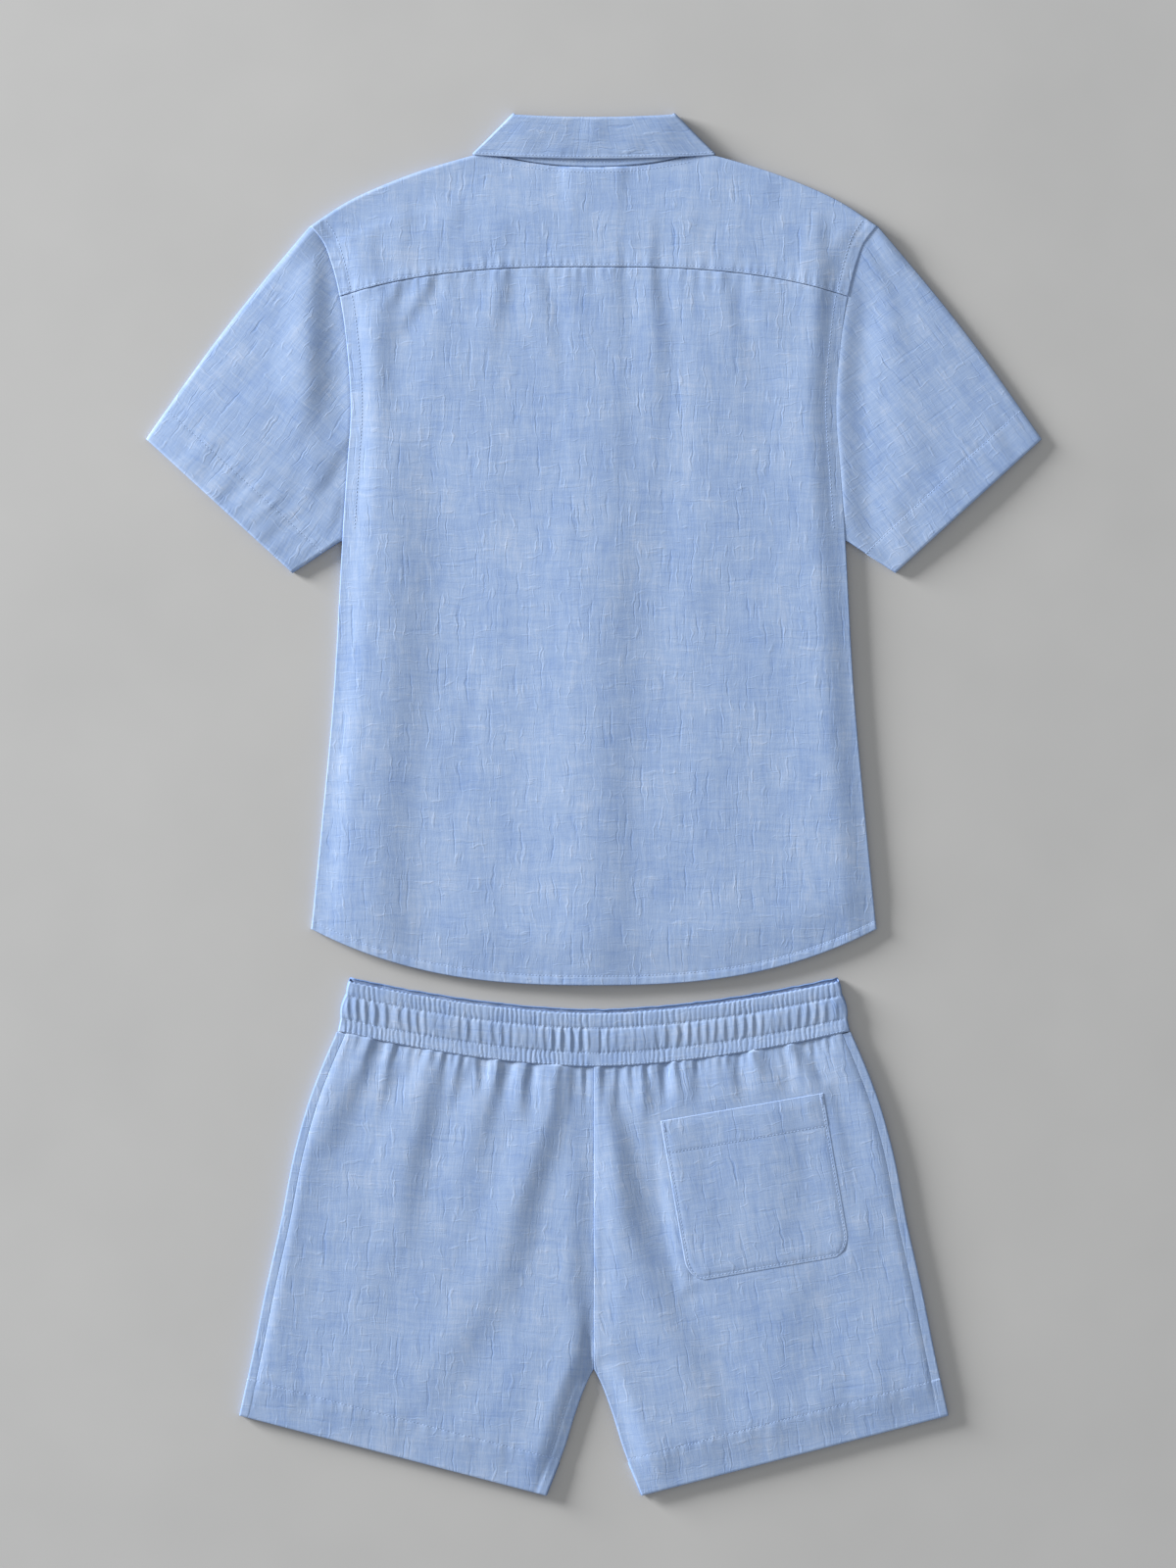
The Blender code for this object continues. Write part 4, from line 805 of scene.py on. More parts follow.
def collar_lift(x, y):
    x = np.abs(x)
    beyond = []
    for start, end in ((LEAF_SIDE, LEAF_POINT), (LEAF_POINT, ROLL_FRONT)):
        along = unit(np.subtract(end, start))
        beyond.append((x - start[0]) * -along[1] + (y - start[1]) * along[0])
    return OVER_LEAF * ease((COLLAR_LIFT_REACH - np.maximum(*beyond)) / COLLAR_LIFT_RAMP)


def front_low(x, y, over_placket):
    reach = np.abs(x) - PLACKET_HALF - 1.0
    if over_placket:
        ramp = (placket_lift(y) + PLACKET + SEAM) * ease(1 - reach / OVER_RAMP)
    else:
        ramp = placket_lift(y) * ease(1 - reach / UNDER_RAMP)
    return np.maximum(ramp, collar_lift(x, y))


def back_low(x, y):
    across = half_width(y) - np.abs(x)
    at_side = mix(BODY_SIDE_HEIGHT, SIDE_HEIGHT, ease((y - UNDERARM_Y) / UNDERARM_SOFTNESS))
    low = mix(at_side, CLOTH + SEAM + LOFT, ease(across / SIDE_SOFTNESS))
    to_shoulder = np.interp(np.abs(x), *np.array(SHOULDER).T) - y
    at_shoulder = mix(SHOULDER_HEIGHT, low, ease(to_shoulder / SHOULDER_SOFTNESS + 0.15))
    low = mix(low, at_shoulder, ease((np.abs(x) - NECK_HALF + 14.0) / 26.0))
    inside = ease(across / SIDE_SOFTNESS) * ease(to_shoulder / 60.0)
    low = low + PUFF * inside + creases(BACK_CREASES, x, y) * (0.25 + 0.75 * ease(across / 20.0))
    low = mix(HEM_SHARE * low, low, ease((y - hem_y(x)) / HEM_SOFTNESS))
    return soft_max(low, front_low(x, y, True) + CLOTH + HEM_EXTRA + SEAM, 0.5)


def body_crumple(x, y):
    """The linen's small hills, longer along the warp."""
    return 0.05 * crumple(x, 0.5 * y, 11.0, 11) + 0.14 * crumple(x, 0.45 * y, 29.0, 12)


def armhole_band(x, y):
    """The armhole seam's allowance, turned onto the body and sewn down."""
    from_side = half_width(y) - np.abs(x)
    on_arm = ease((y - UNDERARM_Y) / 24.0)
    lift = 0.22 * ease((10.0 - from_side) / 1.8)
    pucker = 0.13 * ripples(y + 3 * x / 200, 8.5, 21) * ease(from_side / 2.5) * ease((13.0 - from_side) / 6.0)
    return (lift + pucker) * on_arm


# Shirt, pieces


def side_offsets(edge, step):
    """Columns from one side to the other as shares of the half width, closer together at the edges."""
    near = 1 - np.array([0.0, 0.25, 0.6, 1.1, 1.8, 2.8, 4.2]) / edge
    inner = spread(-near[-1], near[-1], step / edge)[1:-1]
    return np.concatenate([-near, inner, near[::-1]])


def make_shirt_back():
    u = side_offsets(228.0, 2.25)
    fold_radius = (CLOTH + HEM_EXTRA) / 2
    turned = [(t, None) for t in (7.0, 4.6, 2.4)]
    bend = [(None, a) for a in (-90.0, -60.0, -25.0, 10.0, 40.0, 66.0)]
    near_hem = [(t, None) for t in (0.75, 1.6, 2.8, 4.2, 5.6, 6.6, 7.4, 8.2, 9.4, 11.2)]
    depth = YOKE_SIDE_Y - HEM_SIDE_Y
    middle = [(t, None) for t in spread(13.6, depth - 12.0, 3.2)]
    near_yoke = [(depth - t, None) for t in (9.6, 7.4, 5.4, 3.8, 2.5, 1.5, 0.8, 0.2)]
    rows = turned + bend + near_hem + middle + near_yoke
    grid, wear = [], []
    for number, (along, angle) in enumerate(rows):
        if angle is None:
            level = HEM_SIDE_Y + along
        else:
            level = HEM_SIDE_Y + fold_radius * (1 - math.cos(math.radians(angle)))
        share = (level - HEM_SIDE_Y) / depth
        middle_y = mix(HEM_MID_Y, YOKE_MID_Y, share)
        bow = mix(HEM_BOW, YOKE_BOW, share)
        x = u * half_width(level)
        y = mix(middle_y, level, np.abs(u) ** bow)
        low = back_low(x, y)
        from_hem, below_yoke = y - hem_y(x), yoke_seam_y(x) - y
        from_side = (1 - np.abs(u)) * half_width(level)
        top = low + CLOTH + HEM_STEP * ease((HEM_DEPTH + 0.9 - from_hem) / 1.8)
        calm = ease((from_hem + 4.0) / 30.0) * ease(below_yoke / 6.0) * ease(from_side / 16.0)
        top = top + body_crumple(x, y) * (0.25 + 0.75 * calm)
        top = top + 0.16 * ripples(x, 8.5, 31) * ease(from_hem / 3.0) * ease((15.0 - from_hem) / 8.0)
        top = top - 0.16 * bell(from_hem - HEM_DEPTH, 1.1)
        gathers = 0.2 * ripples(x, 13.5, 41) * ease(1 - below_yoke / 30.0)
        gathers = gathers + 0.17 * ripples(x, 7.4, 43) * ease(1 - below_yoke / 11.0)
        top = top + gathers * ease((below_yoke + 1.0) / 3.0) * ease(from_side / 8.0)
        top = top - 0.2 * ease(1 - below_yoke / 1.6)
        top = top + armhole_band(x, y)
        on_arm = ease((y - UNDERARM_Y) / 12.0)
        seam_z = mix(1.15, top - 0.3, on_arm)
        top = mix(top, seam_z, rounded(from_side, mix(0.6, 0.8, on_arm)))
        if number < len(turned):
            z = low + 0.02
        elif angle is not None:
            z = mix(low, top, (1 + math.sin(math.radians(angle))) / 2)
        else:
            z = top
        grid.append(points(x, y, z))
        wear.append(0.15 * ease(1 - np.abs(from_hem) / 1.6))
    grid = np.array(grid)
    grain = turned_grain(grid[..., 0], grid[..., 1])
    back = cloth_sheet("shirt_back_panel", grid, SHIRT_Y, SHIRT_CLOTH, grain, worn=np.array(wear))
    own(back, "shirt_cloth", "shirt_back")
    first = len(turned) + len(bend)
    levels = np.array([along for along, angle in rows[first:]])
    hem_row = first + np.interp(HEM_DEPTH - 0.4, levels, np.arange(len(levels)))
    lines = [row_line(grid, hem_row, 3, -3)]
    arm = [i for i, (along, angle) in enumerate(rows) if i >= first and HEM_SIDE_Y + along > UNDERARM_Y + 8]
    for side in (-1, 1):
        share = 1 - 9.4 / smooth(ARMHOLE, -200.0)
        column = np.interp(side * share, u, np.arange(len(u)))
        lines.append(column_line(grid, column, arm[0], arm[-1] - 1))
    seams = stitching("shirt_back_stitches", SHIRT_Y, lines, "shirt_cloth")
    return back, seams


def make_shirt_yoke():
    half = np.concatenate([spread(0, NECK_HALF, 1.35)[:-1], spread(NECK_HALF, TIP_X - 4.2, 1.35)[:-1],
                           TIP_X - np.array([4.2, 2.8, 1.8, 1.1, 0.6, 0.25, 0.0])])
    x_top = np.concatenate([-half[:0:-1], half])
    u = x_top / TIP_X
    on_shoulder = np.abs(x_top) >= NECK_HALF
    y_top = np.where(on_shoulder, smooth(SHOULDER, np.abs(x_top)), neck_y(x_top))
    seam = yoke_seam_y(u * smooth(ARMHOLE, YOKE_SIDE_Y)) + 0.1
    end_level = TIP_Y - EDGE_RADIUS
    length = end_level - YOKE_SIDE_Y
    near_seam = np.array([0.0, 0.25, 0.6, 1.1, 1.8, 2.7, 3.9, 5.4])
    upper = np.concatenate([near_seam, spread(near_seam[-1], length - 3.0, 1.75)[1:], [length - 1.6, length]])
    grid, wear = [], []

    def yoke_top(x, y, from_seam, from_end):
        to_fold = np.interp(np.abs(x), *np.array(SHOULDER).T) - y
        step = YOKE_STEP * ease(1 - from_seam / YOKE_STEP_DEPTH)
        top = back_low(x, y) + step + CLOTH
        calm = ease((from_seam + 2) / 10.0) * ease(from_end / 14.0) * ease(to_fold / 12.0 + 0.2)
        top = top + body_crumple(x, y + 40.0) * calm * 0.9
        pucker = 0.12 * ripples(x, 6.6, 51) * ease(from_seam / 1.8) * ease((10.0 - from_seam) / 6.0)
        wide = 0.1 * ripples(x, 15.0, 53) * ease((26.0 - from_seam) / 24.0)
        top = top + (pucker + wide) * ease(from_end / 8.0)
        print_depth = 33.0 - 3.0 * ease((np.abs(x) - 150.0) / 60.0)
        past_print = to_fold - print_depth
        strip_print = mix(0.1, 0.16, x < 0) * ease((past_print + 1.5) / 3.0) * ease(1 - past_print / 12.0)
        top = top + strip_print * ease((np.abs(x) - 128.0) / 20.0) * ease((224.0 - np.abs(x)) / 8.0)
        top = top + armhole_band(x, y)
        top = top - 0.12 * bell(from_seam - 2.2, 0.8)
        top = top - 0.4 * rounded(from_seam, 0.9)
        return top - 0.3 * rounded(from_end, 0.9)

    for along in upper:
        level = YOKE_SIDE_Y + along
        share = along / length
        width = smooth(ARMHOLE, max(level, YOKE_SIDE_Y + SEAM))
        x = u * width
        y = mix(seam, y_top - EDGE_RADIUS * on_shoulder, share)
        from_end = (1 - np.abs(u)) * width
        top = yoke_top(x, y, y - seam, from_end)
        at_neck = ease((NECK_HALF + 5.0 - np.abs(x_top)) / 8.0)
        top = top - 0.25 * at_neck * ease(1 - (y_top - y) / 6.0)
        grid.append(points(x, y, top))
        wear.append(0.2 * ease(1 - (y - seam) / 1.6))
    top = grid[-1][:, 2]
    share = np.clip((np.abs(x_top) - NECK_HALF) / (TIP_X - NECK_HALF), 0, 1)

    def strip_plan(down):
        x = mix(front_neck_x(NECK_RISE - down), smooth(ARMHOLE, TIP_Y - down), share)
        return np.sign(x_top) * x, y_top - down

    bottom = front_low(*strip_plan(EDGE_RADIUS), False)
    for angle in np.radians([68.0, 45.0, 22.0, 0.0, -22.0, -45.0, -68.0, -90.0]):
        x, y = strip_plan(EDGE_RADIUS * (1 - math.cos(angle)))
        grid.append(points(x, y, (top + bottom) / 2 + (top - bottom) / 2 * math.sin(angle)))
        wear.append(np.zeros(len(x_top)))
    for down in spread(EDGE_RADIUS, STRIP_DEPTH, 3.0)[1:]:
        x, y = strip_plan(down)
        grid.append(points(x, y, front_low(x, y, False) + 0.12 * ease((down - STRIP_DEPTH + 4) / 3)))
        wear.append(np.zeros(len(x_top)))
    grid = np.array(grid)
    cells = np.ones((len(grid) - 1, len(x_top) - 1), bool)
    cells[len(upper) - 1:, ~(on_shoulder[1:] & on_shoulder[:-1])] = False
    grain = turned_grain(grid[..., 0], grid[..., 1] + 37.0)
    worn = np.array(wear)
    yoke = cloth_sheet("shirt_yoke_panel", grid, SHIRT_Y, SHIRT_CLOTH, grain, cells=cells, worn=worn)
    own(yoke, "shirt_cloth", "shirt_yoke")
    rows = np.arange(len(upper))
    above_seam = np.interp(2.2, upper * (85.0 / length), rows)
    lines = [row_line(grid, above_seam, 6, -6)]
    for side in (-1, 1):
        column = np.interp(side * (TIP_X - 10.4), x_top, np.arange(len(x_top)))
        lines.append(column_line(grid, column, 3, len(upper) - 1))
    inside = np.abs(x_top) < 84.0
    first, last = np.argmax(inside), len(inside) - np.argmax(inside[::-1])
    lines.append(row_line(grid, len(upper) - 3, first, last))
    seams = stitching("shirt_yoke_stitches", SHIRT_Y, lines, "shirt_cloth")
    return yoke, seams


def make_shirt_front(name, node, side, over_placket):
    table = np.array(FRONT_COLUMNS)
    neck_end = table[NECK_END_COLUMN, 1]
    if not over_placket:
        table = table[2:]
        table[0] = PLACKET_HALF + SEAM
    start = table[0, 0]
    to_hem = (table[:, 0] - start) / (table[-1, 0] - start)
    places = np.concatenate([spread(0, 1, 0.026)[:-1], 1 - np.array([0.01, 0.005, 0.0025, 0.0])])
    places = np.unique(np.concatenate([places, [0.004, 0.01]]))
    at_hem = start + places * (table[-1, 0] - start)
    at_top = np.interp(places, to_hem, table[:, 1])
    seam_level = TIP_Y - STRIP_DEPTH - CURVE_SEAM
    fold_radius = (CLOTH + HEM_EXTRA) / 2
    depth = seam_level - HEM_SIDE_Y
    turned = [(t, None) for t in (7.0, 4.0)]
    bend = [(None, a) for a in (90.0, 45.0, 0.0, -45.0)]
    flat = [(t, None) for t in (0.8, 3.0, 6.6, 7.8)] + [(t, None) for t in spread(12.0, depth, 6.0)]
    rows = turned + bend + flat
    to_top = (at_top - start) / (at_top[-1] - start)
    tips = mix(NECK_HALF, TIP_X, np.clip((at_top - neck_end) / (at_top[-1] - neck_end), 0, 1))
    under_strip = smooth(SHOULDER, tips) - STRIP_DEPTH
    top_y = np.where(at_top >= neck_end, under_strip, front_neck_y(at_top)) - CURVE_SEAM
    grid = []
    for number, (along, angle) in enumerate(rows):
        if angle is not None:
            along = fold_radius * (1 - math.cos(math.radians(angle)))
        share = along / depth
        across = mix(places, to_top, share**FRONT_BOW)
        width = half_width(HEM_SIDE_Y + along)
        x = start + across * (width - start)
        y = mix(hem_y(at_hem), top_y, share)
        low = front_low(x, y, over_placket)
        soft = ease(along / 24.0) * ease((width - x) / 12.0) * ease(low / 0.2)
        z = low + 0.1 * crumple(x, 0.6 * y, 16.0, 61) * soft + rounded(width - x, 1.3)
        if number < len(turned):
            z = low + CLOTH + HEM_EXTRA
        elif angle is not None:
            z = low + fold_radius * (1 + math.sin(math.radians(angle)))
        grid.append(points(side * x, y, z))
    grid = np.array(grid)
    if side > 0:
        grid = grid[:, ::-1]
    grain = turned_grain(grid[..., 0], grid[..., 1], 0.0, 300.0)
    front = cloth_sheet(name, grid, SHIRT_Y, SHIRT_CLOTH, grain)
    own(front, "shirt_cloth", node)
    hem_row = len(turned) + len(bend) + 1.9
    lines = [row_line(grid, hem_row, 2, -2)]
    return front, stitching(name + "_stitches", SHIRT_Y, lines, "shirt_cloth")


def make_shirt_placket():
    x = np.concatenate([-PLACKET_HALF + np.array([0.0, 0.4, 1.0, 2.0, 4.0]), spread(-10, 10, 4.0),
                        PLACKET_HALF - np.array([4.0, 2.0, 1.0, 0.4, 0.0])])
    share = np.concatenate([[0.0, 0.0008, 0.002], spread(0.005, 1.0, 0.006)])[:, None]
    y = mix(hem_y(x), front_neck_y(x) - SEAM, share)
    from_edge = PLACKET_HALF - np.abs(x)
    low = placket_lift(y) + 0.35 * rounded(from_edge, 0.9) + 0.08 * bell(from_edge - 5.0, 0.9)
    low = low + 0.08 * ripples(y, 12.0, 71) * ease(low / 0.5) * ease(from_edge / 3.0)
    grid = points(x[::-1], y[:, ::-1], low[:, ::-1])
    grain = turned_grain(grid[..., 0], grid[..., 1], 0.0, 700.0)
    placket = cloth_sheet("shirt_placket_band", grid, SHIRT_Y, SHIRT_CLOTH, grain, wall=0.9)
    own(placket, "shirt_cloth", "shirt_placket")
    columns = np.arange(len(x))
    lines = []
    for side in (-1, 1):
        column = np.interp(side * (PLACKET_HALF - 5.0), x, columns)
        lines.append(column_line(grid, len(x) - 1 - column, 3, -1))
    for number in range(FRONT_BUTTONS):
        centre = SECOND_BUTTON_Y - number * BUTTON_PITCH
        for side in (-1, 1):
            ends = np.array([centre - 8.0, centre + 8.0])
            path = points(side * 1.3, ends, placket_lift(ends))
            lines.append((path, np.tile((0.0, 0.0, -1.0), (2, 1)), 0.8, 0.5))
    return placket, stitching("shirt_placket_stitches", SHIRT_Y, lines, "shirt_cloth")


def button_pattern():
    """One shirt button, modelled once: dished, rimmed and four-holed, with its face down."""
    deselect()
    bpy.ops.mesh.primitive_cylinder_add(vertices=40, radius=BUTTON_RADIUS * MM, depth=BUTTON * MM)
    button = bpy.context.object
    bpy.ops.object.mode_set(mode="EDIT")
    bpy.ops.mesh.select_all(action="SELECT")
    bpy.ops.mesh.bevel(offset=0.45 * MM, segments=3, affect="EDGES")
    bpy.ops.mesh.select_all(action="DESELECT")
    bpy.ops.object.mode_set(mode="OBJECT")
    for face in button.data.polygons:
        face.select = face.normal.z < -0.99 and face.area > 1e-5
    bpy.ops.object.mode_set(mode="EDIT")
    bpy.ops.mesh.inset(thickness=0.7 * MM)
    bpy.ops.mesh.inset(thickness=0.5 * MM)
    bpy.ops.transform.translate(value=(0, 0, 0.5 * MM))
    bpy.ops.mesh.inset(thickness=0.6 * MM)
    bpy.ops.mesh.select_all(action="SELECT")
    bpy.ops.mesh.quads_convert_to_tris()
    bpy.ops.object.mode_set(mode="OBJECT")
    for across in (-BUTTON_HOLE, BUTTON_HOLE):
        for down in (-BUTTON_HOLE, BUTTON_HOLE):
            deselect()
            bpy.ops.mesh.primitive_cylinder_add(
                vertices=14, radius=0.62 * MM, depth=6 * MM, location=(across * MM, down * MM, 0)
            )
            hole = bpy.context.object
            drill = button.modifiers.new("hole", "BOOLEAN")
            drill.operation, drill.object, drill.solver = "DIFFERENCE", hole, "EXACT"
            deselect()
            button.select_set(True)
            bpy.context.view_layer.objects.active = button
            bpy.ops.object.modifier_apply(modifier=drill.name)
            bpy.data.objects.remove(hole, do_unlink=True)
    deselect()
    button.select_set(True)
    bpy.context.view_layer.objects.active = button
    bpy.ops.object.shade_smooth_by_angle(angle=math.radians(40))
    return button


def make_buttons():
    pattern = button_pattern()
    centres = [FIRST_BUTTON_Y] + [SECOND_BUTTON_Y - n * BUTTON_PITCH for n in range(FRONT_BUTTONS)]
    for number in range(1, len(centres) + 1):
        mesh = pattern.data.copy()
        mesh.materials.clear()
        mesh.materials.append(PEARL)
        button = bpy.data.objects.new(f"pearl_button_{number}", mesh)
        bpy.context.scene.collection.objects.link(button)
        low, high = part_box(f"shirt_button_{number}")
        centre = (low + high) / 2
        for vertex in mesh.vertices:
            vertex.co += centre
        own(button, "button", f"shirt_button_{number}")
    bpy.data.objects.remove(pattern, do_unlink=True)
    crosses = []
    for y in centres:
        for turn in (1, -1):
            path = np.array([(s * BUTTON_HOLE, y + s * turn * BUTTON_HOLE, 0.42) for s in (-1, 1)])
            crosses.append((path, np.tile((0.0, 0.0, -1.0), (2, 1)), 5.0, 0.5))
    stitching("button_thread", SHIRT_Y, crosses, "shirt_cloth")


COLLAR_DOWN = unit(np.subtract(LEAF_SIDE, ROLL_CORNER))
COLLAR_IN = np.array([COLLAR_DOWN[1], -COLLAR_DOWN[0]])


def collar_point(plan, angle, depth):
    """A point so deep in the collar: above at 90 degrees, below at -90, and round the fold between."""
    turned = max(math.cos(angle), 0.0) ** 0.6
    plan = np.array(plan) + COLLAR_IN * (COLLAR_RADIUS * (1 - turned) + depth * turned) * (turned > 0.01)
    tall = COLLAR_HEIGHT / 2 - depth
    return np.array([*plan, COLLAR_HEIGHT / 2 + tall * math.sin(angle)])


def collar_stations(back, side, front):
    """(Plan point, angle round the fold) from the middle of the back, round one side, to the front."""
    upper = [(point, math.pi / 2) for point in back]
    fold = [(side, angle) for angle in np.radians(np.linspace(72.0, -72.0, 9))]
    lower = [(point, -math.pi / 2) for point in front]
    return upper + fold + lower


def collar_end_fall(x):
    """How much lower both ends of the collar lie."""
    return ease((abs(x) - 52.0) / 46.0)


def make_collar():
    roll_side = np.array(ROLL_CORNER) + COLLAR_IN * COLLAR_RADIUS
    edge_side = np.array(LEAF_SIDE) + COLLAR_IN * COLLAR_RADIUS
    behind = np.linspace(0, 1, 56)
    before = np.concatenate([np.linspace(0, 0.96, 40), [0.975, 0.985, 0.993, 1.0]])
    roll_back = [(s * roll_side[0], mix(ROLL_MID_Y, roll_side[1], s**2)) for s in behind]
    edge_back = [(s * edge_side[0], mix(LEAF_MID_Y, edge_side[1], s**2)) for s in behind]
    roll_front = [mix(roll_side, np.array(ROLL_FRONT), s) for s in before]
    edge_front = [mix(edge_side, np.array(LEAF_POINT), s) for s in before]
    roll = collar_stations(roll_back, ROLL_CORNER, roll_front)
    edge = collar_stations(edge_back, LEAF_SIDE, edge_front)
    section = [(0.0, 0.0, 2.6), (0.0, 0.0, 1.9), (0.0, 0.05, 1.1), (0.0, 0.3, 0.5), (0.0, 0.8, 0.12)]
    section += [(s, 1.9 * (1 - s / 0.1) if s < 0.1 else 0.0, 0.0) for s in spread(0.05, 0.94, 0.04)]
    section += [(1.0, -d, 0.0) for d in (1.9, 1.2, 0.7, 0.35, 0.1, 0.0)]
    last_before = len(before)
    grid = []
    for share, beyond, depth in section:
        row = []
        for number, ((a, angle), (b, _)) in enumerate(zip(roll, edge)):
            a, b = np.array(a), np.array(b)
            down = unit(b - a)
            length = np.hypot(*(b - a))
            plan = mix(a, b, share) + down * beyond
            to_edge = length * (1 - share) - min(beyond, 0.0)
            level = depth + collar_end_fall(plan[0])
            if share > 0.02:
                level += 0.4 * float(rounded(to_edge, 0.9))
                level += 0.16 * bell(to_edge - 3.6, 0.9)
                hills = 0.3 * crumple(plan[0], plan[1], 15.0, 81)
                hills = hills + 0.12 * ripples(plan[0], 8.0, 83) * ease((9 - to_edge) / 6)
                level -= float(hills) * float(ease(to_edge / 6.0)) * (abs(math.sin(angle)) > 0.9)
            end = len(roll) - last_before
            if number >= end:
                to_front = (1 - before[number - end]) * np.hypot(*(np.subtract(ROLL_FRONT, roll_side)))
                level += 0.4 * float(rounded(to_front, 0.9))
            row.append(collar_point(plan, angle, level))
        grid.append([point * (-1, 1, 1) for point in row[:0:-1]] + row)
    grid = np.array(grid)[::-1]
    run = np.cumsum(np.linalg.norm(np.diff(grid[5], axis=0), axis=1))
    run = np.concatenate([[0.0], run])
    down = np.arange(len(grid)) * 50.0 / len(grid)
    grain = np.stack(np.broadcast_arrays(down[:, None] + 900.0, run[None, :]), axis=-1) * MM
    to_edge = np.array([0.0] * 6 + [9.0] * (len(grid) - 6))[:, None]
    collar = cloth_sheet(
        "shirt_collar_leaf", grid, SHIRT_Y, COLLAR_CLOTH, grain, wall=1.0, worn=0.2 * ease(1 - to_edge / 3.0)
    )
    own(collar, "shirt_cloth", "shirt_collar")
    lines = [row_line(grid, 5 + 1.15, 3, -3)]
    return collar, stitching("shirt_collar_stitches", SHIRT_Y, lines, "shirt_cloth")


def make_stand():
    roll_corner = np.array(ROLL_CORNER) + COLLAR_DOWN * STAND_BELOW_ROLL
    low_side = np.array(STAND_SIDE) + COLLAR_IN * COLLAR_RADIUS
    high_side = roll_corner + COLLAR_IN * COLLAR_RADIUS
    behind, before = np.linspace(0, 1, 40), np.linspace(0, 1, 30)
    low_x = behind * low_side[0]
    low_back = list(zip(low_x, mix(neck_y(low_x) + CURVE_SEAM, low_side[1], behind**8)))
    high_back = [(s * high_side[0], mix(ROLL_MID_Y - STAND_BELOW_ROLL, high_side[1], s**2)) for s in behind]
    low_front = [low_side]
    for turn in np.radians(np.linspace(14.0, 90.0, 29)):
        drop = (FRONT_NECK_DROP - CURVE_SEAM) * math.sin(turn)
        low_front.append(((NECK_HALF - 1.4) * math.cos(turn), NECK_RISE - drop))
    roll_end = np.array(ROLL_FRONT) + COLLAR_DOWN * STAND_BELOW_ROLL
    high_front = [mix(high_side, roll_end, s) for s in before]
    low_front.append((STAND_END[0], front_neck_y(PLACKET_HALF) + SEAM))
    high_front.append((STAND_END[1], ROLL_FRONT[1] - STAND_END_DROP))
    low = collar_stations(low_back, STAND_SIDE, low_front)
    high = collar_stations(high_back, roll_corner, high_front)

    def half(over_placket):
        rows = []
        for share in (0.0, 0.012, 0.03, 0.07, 0.15, 0.3, 0.45, 0.6, 0.75, 0.9, 1.0):
            row = []
            for (a, angle), (b, _) in zip(low, high):
                level = UNDER_LEAF + 0.5 * float(rounded(share * 38.0, 1.0))
                plan = mix(np.array(a), np.array(b), share)
                level = level + collar_end_fall(plan[0]) - 0.4 * float(ease(1 - share / 0.18)) * (angle > 1.5)
                point = collar_point(plan, angle, level)
                if angle < math.radians(-80.0):
                    lap = PLACKET_LIFT - UNDER_LEAF + (PLACKET + SEAM) * over_placket
                    point[2] += lap * ease(1 - (point[0] - PLACKET_HALF - 1.0) / 24.0)
                row.append(point)
            rows.append(row)
        return np.array(rows)

    left, right = half(False), half(True)
    grid = np.concatenate([left[:, :0:-1] * (-1, 1, 1), right], axis=1)
    grain = turned_grain(grid[..., 0], grid[..., 1], 90.0, 500.0)
    stand = cloth_sheet("shirt_collar_band", grid, SHIRT_Y, SHIRT_CLOTH, grain, wall=0.9)
    own(stand, "shirt_cloth", "shirt_collar_stand")
    middle = grid.shape[1] // 2
    lines = [row_line(grid, 3.3, middle - 38, middle + 38)]
    return stand, stitching("shirt_stand_stitches", SHIRT_Y, lines, "shirt_cloth")


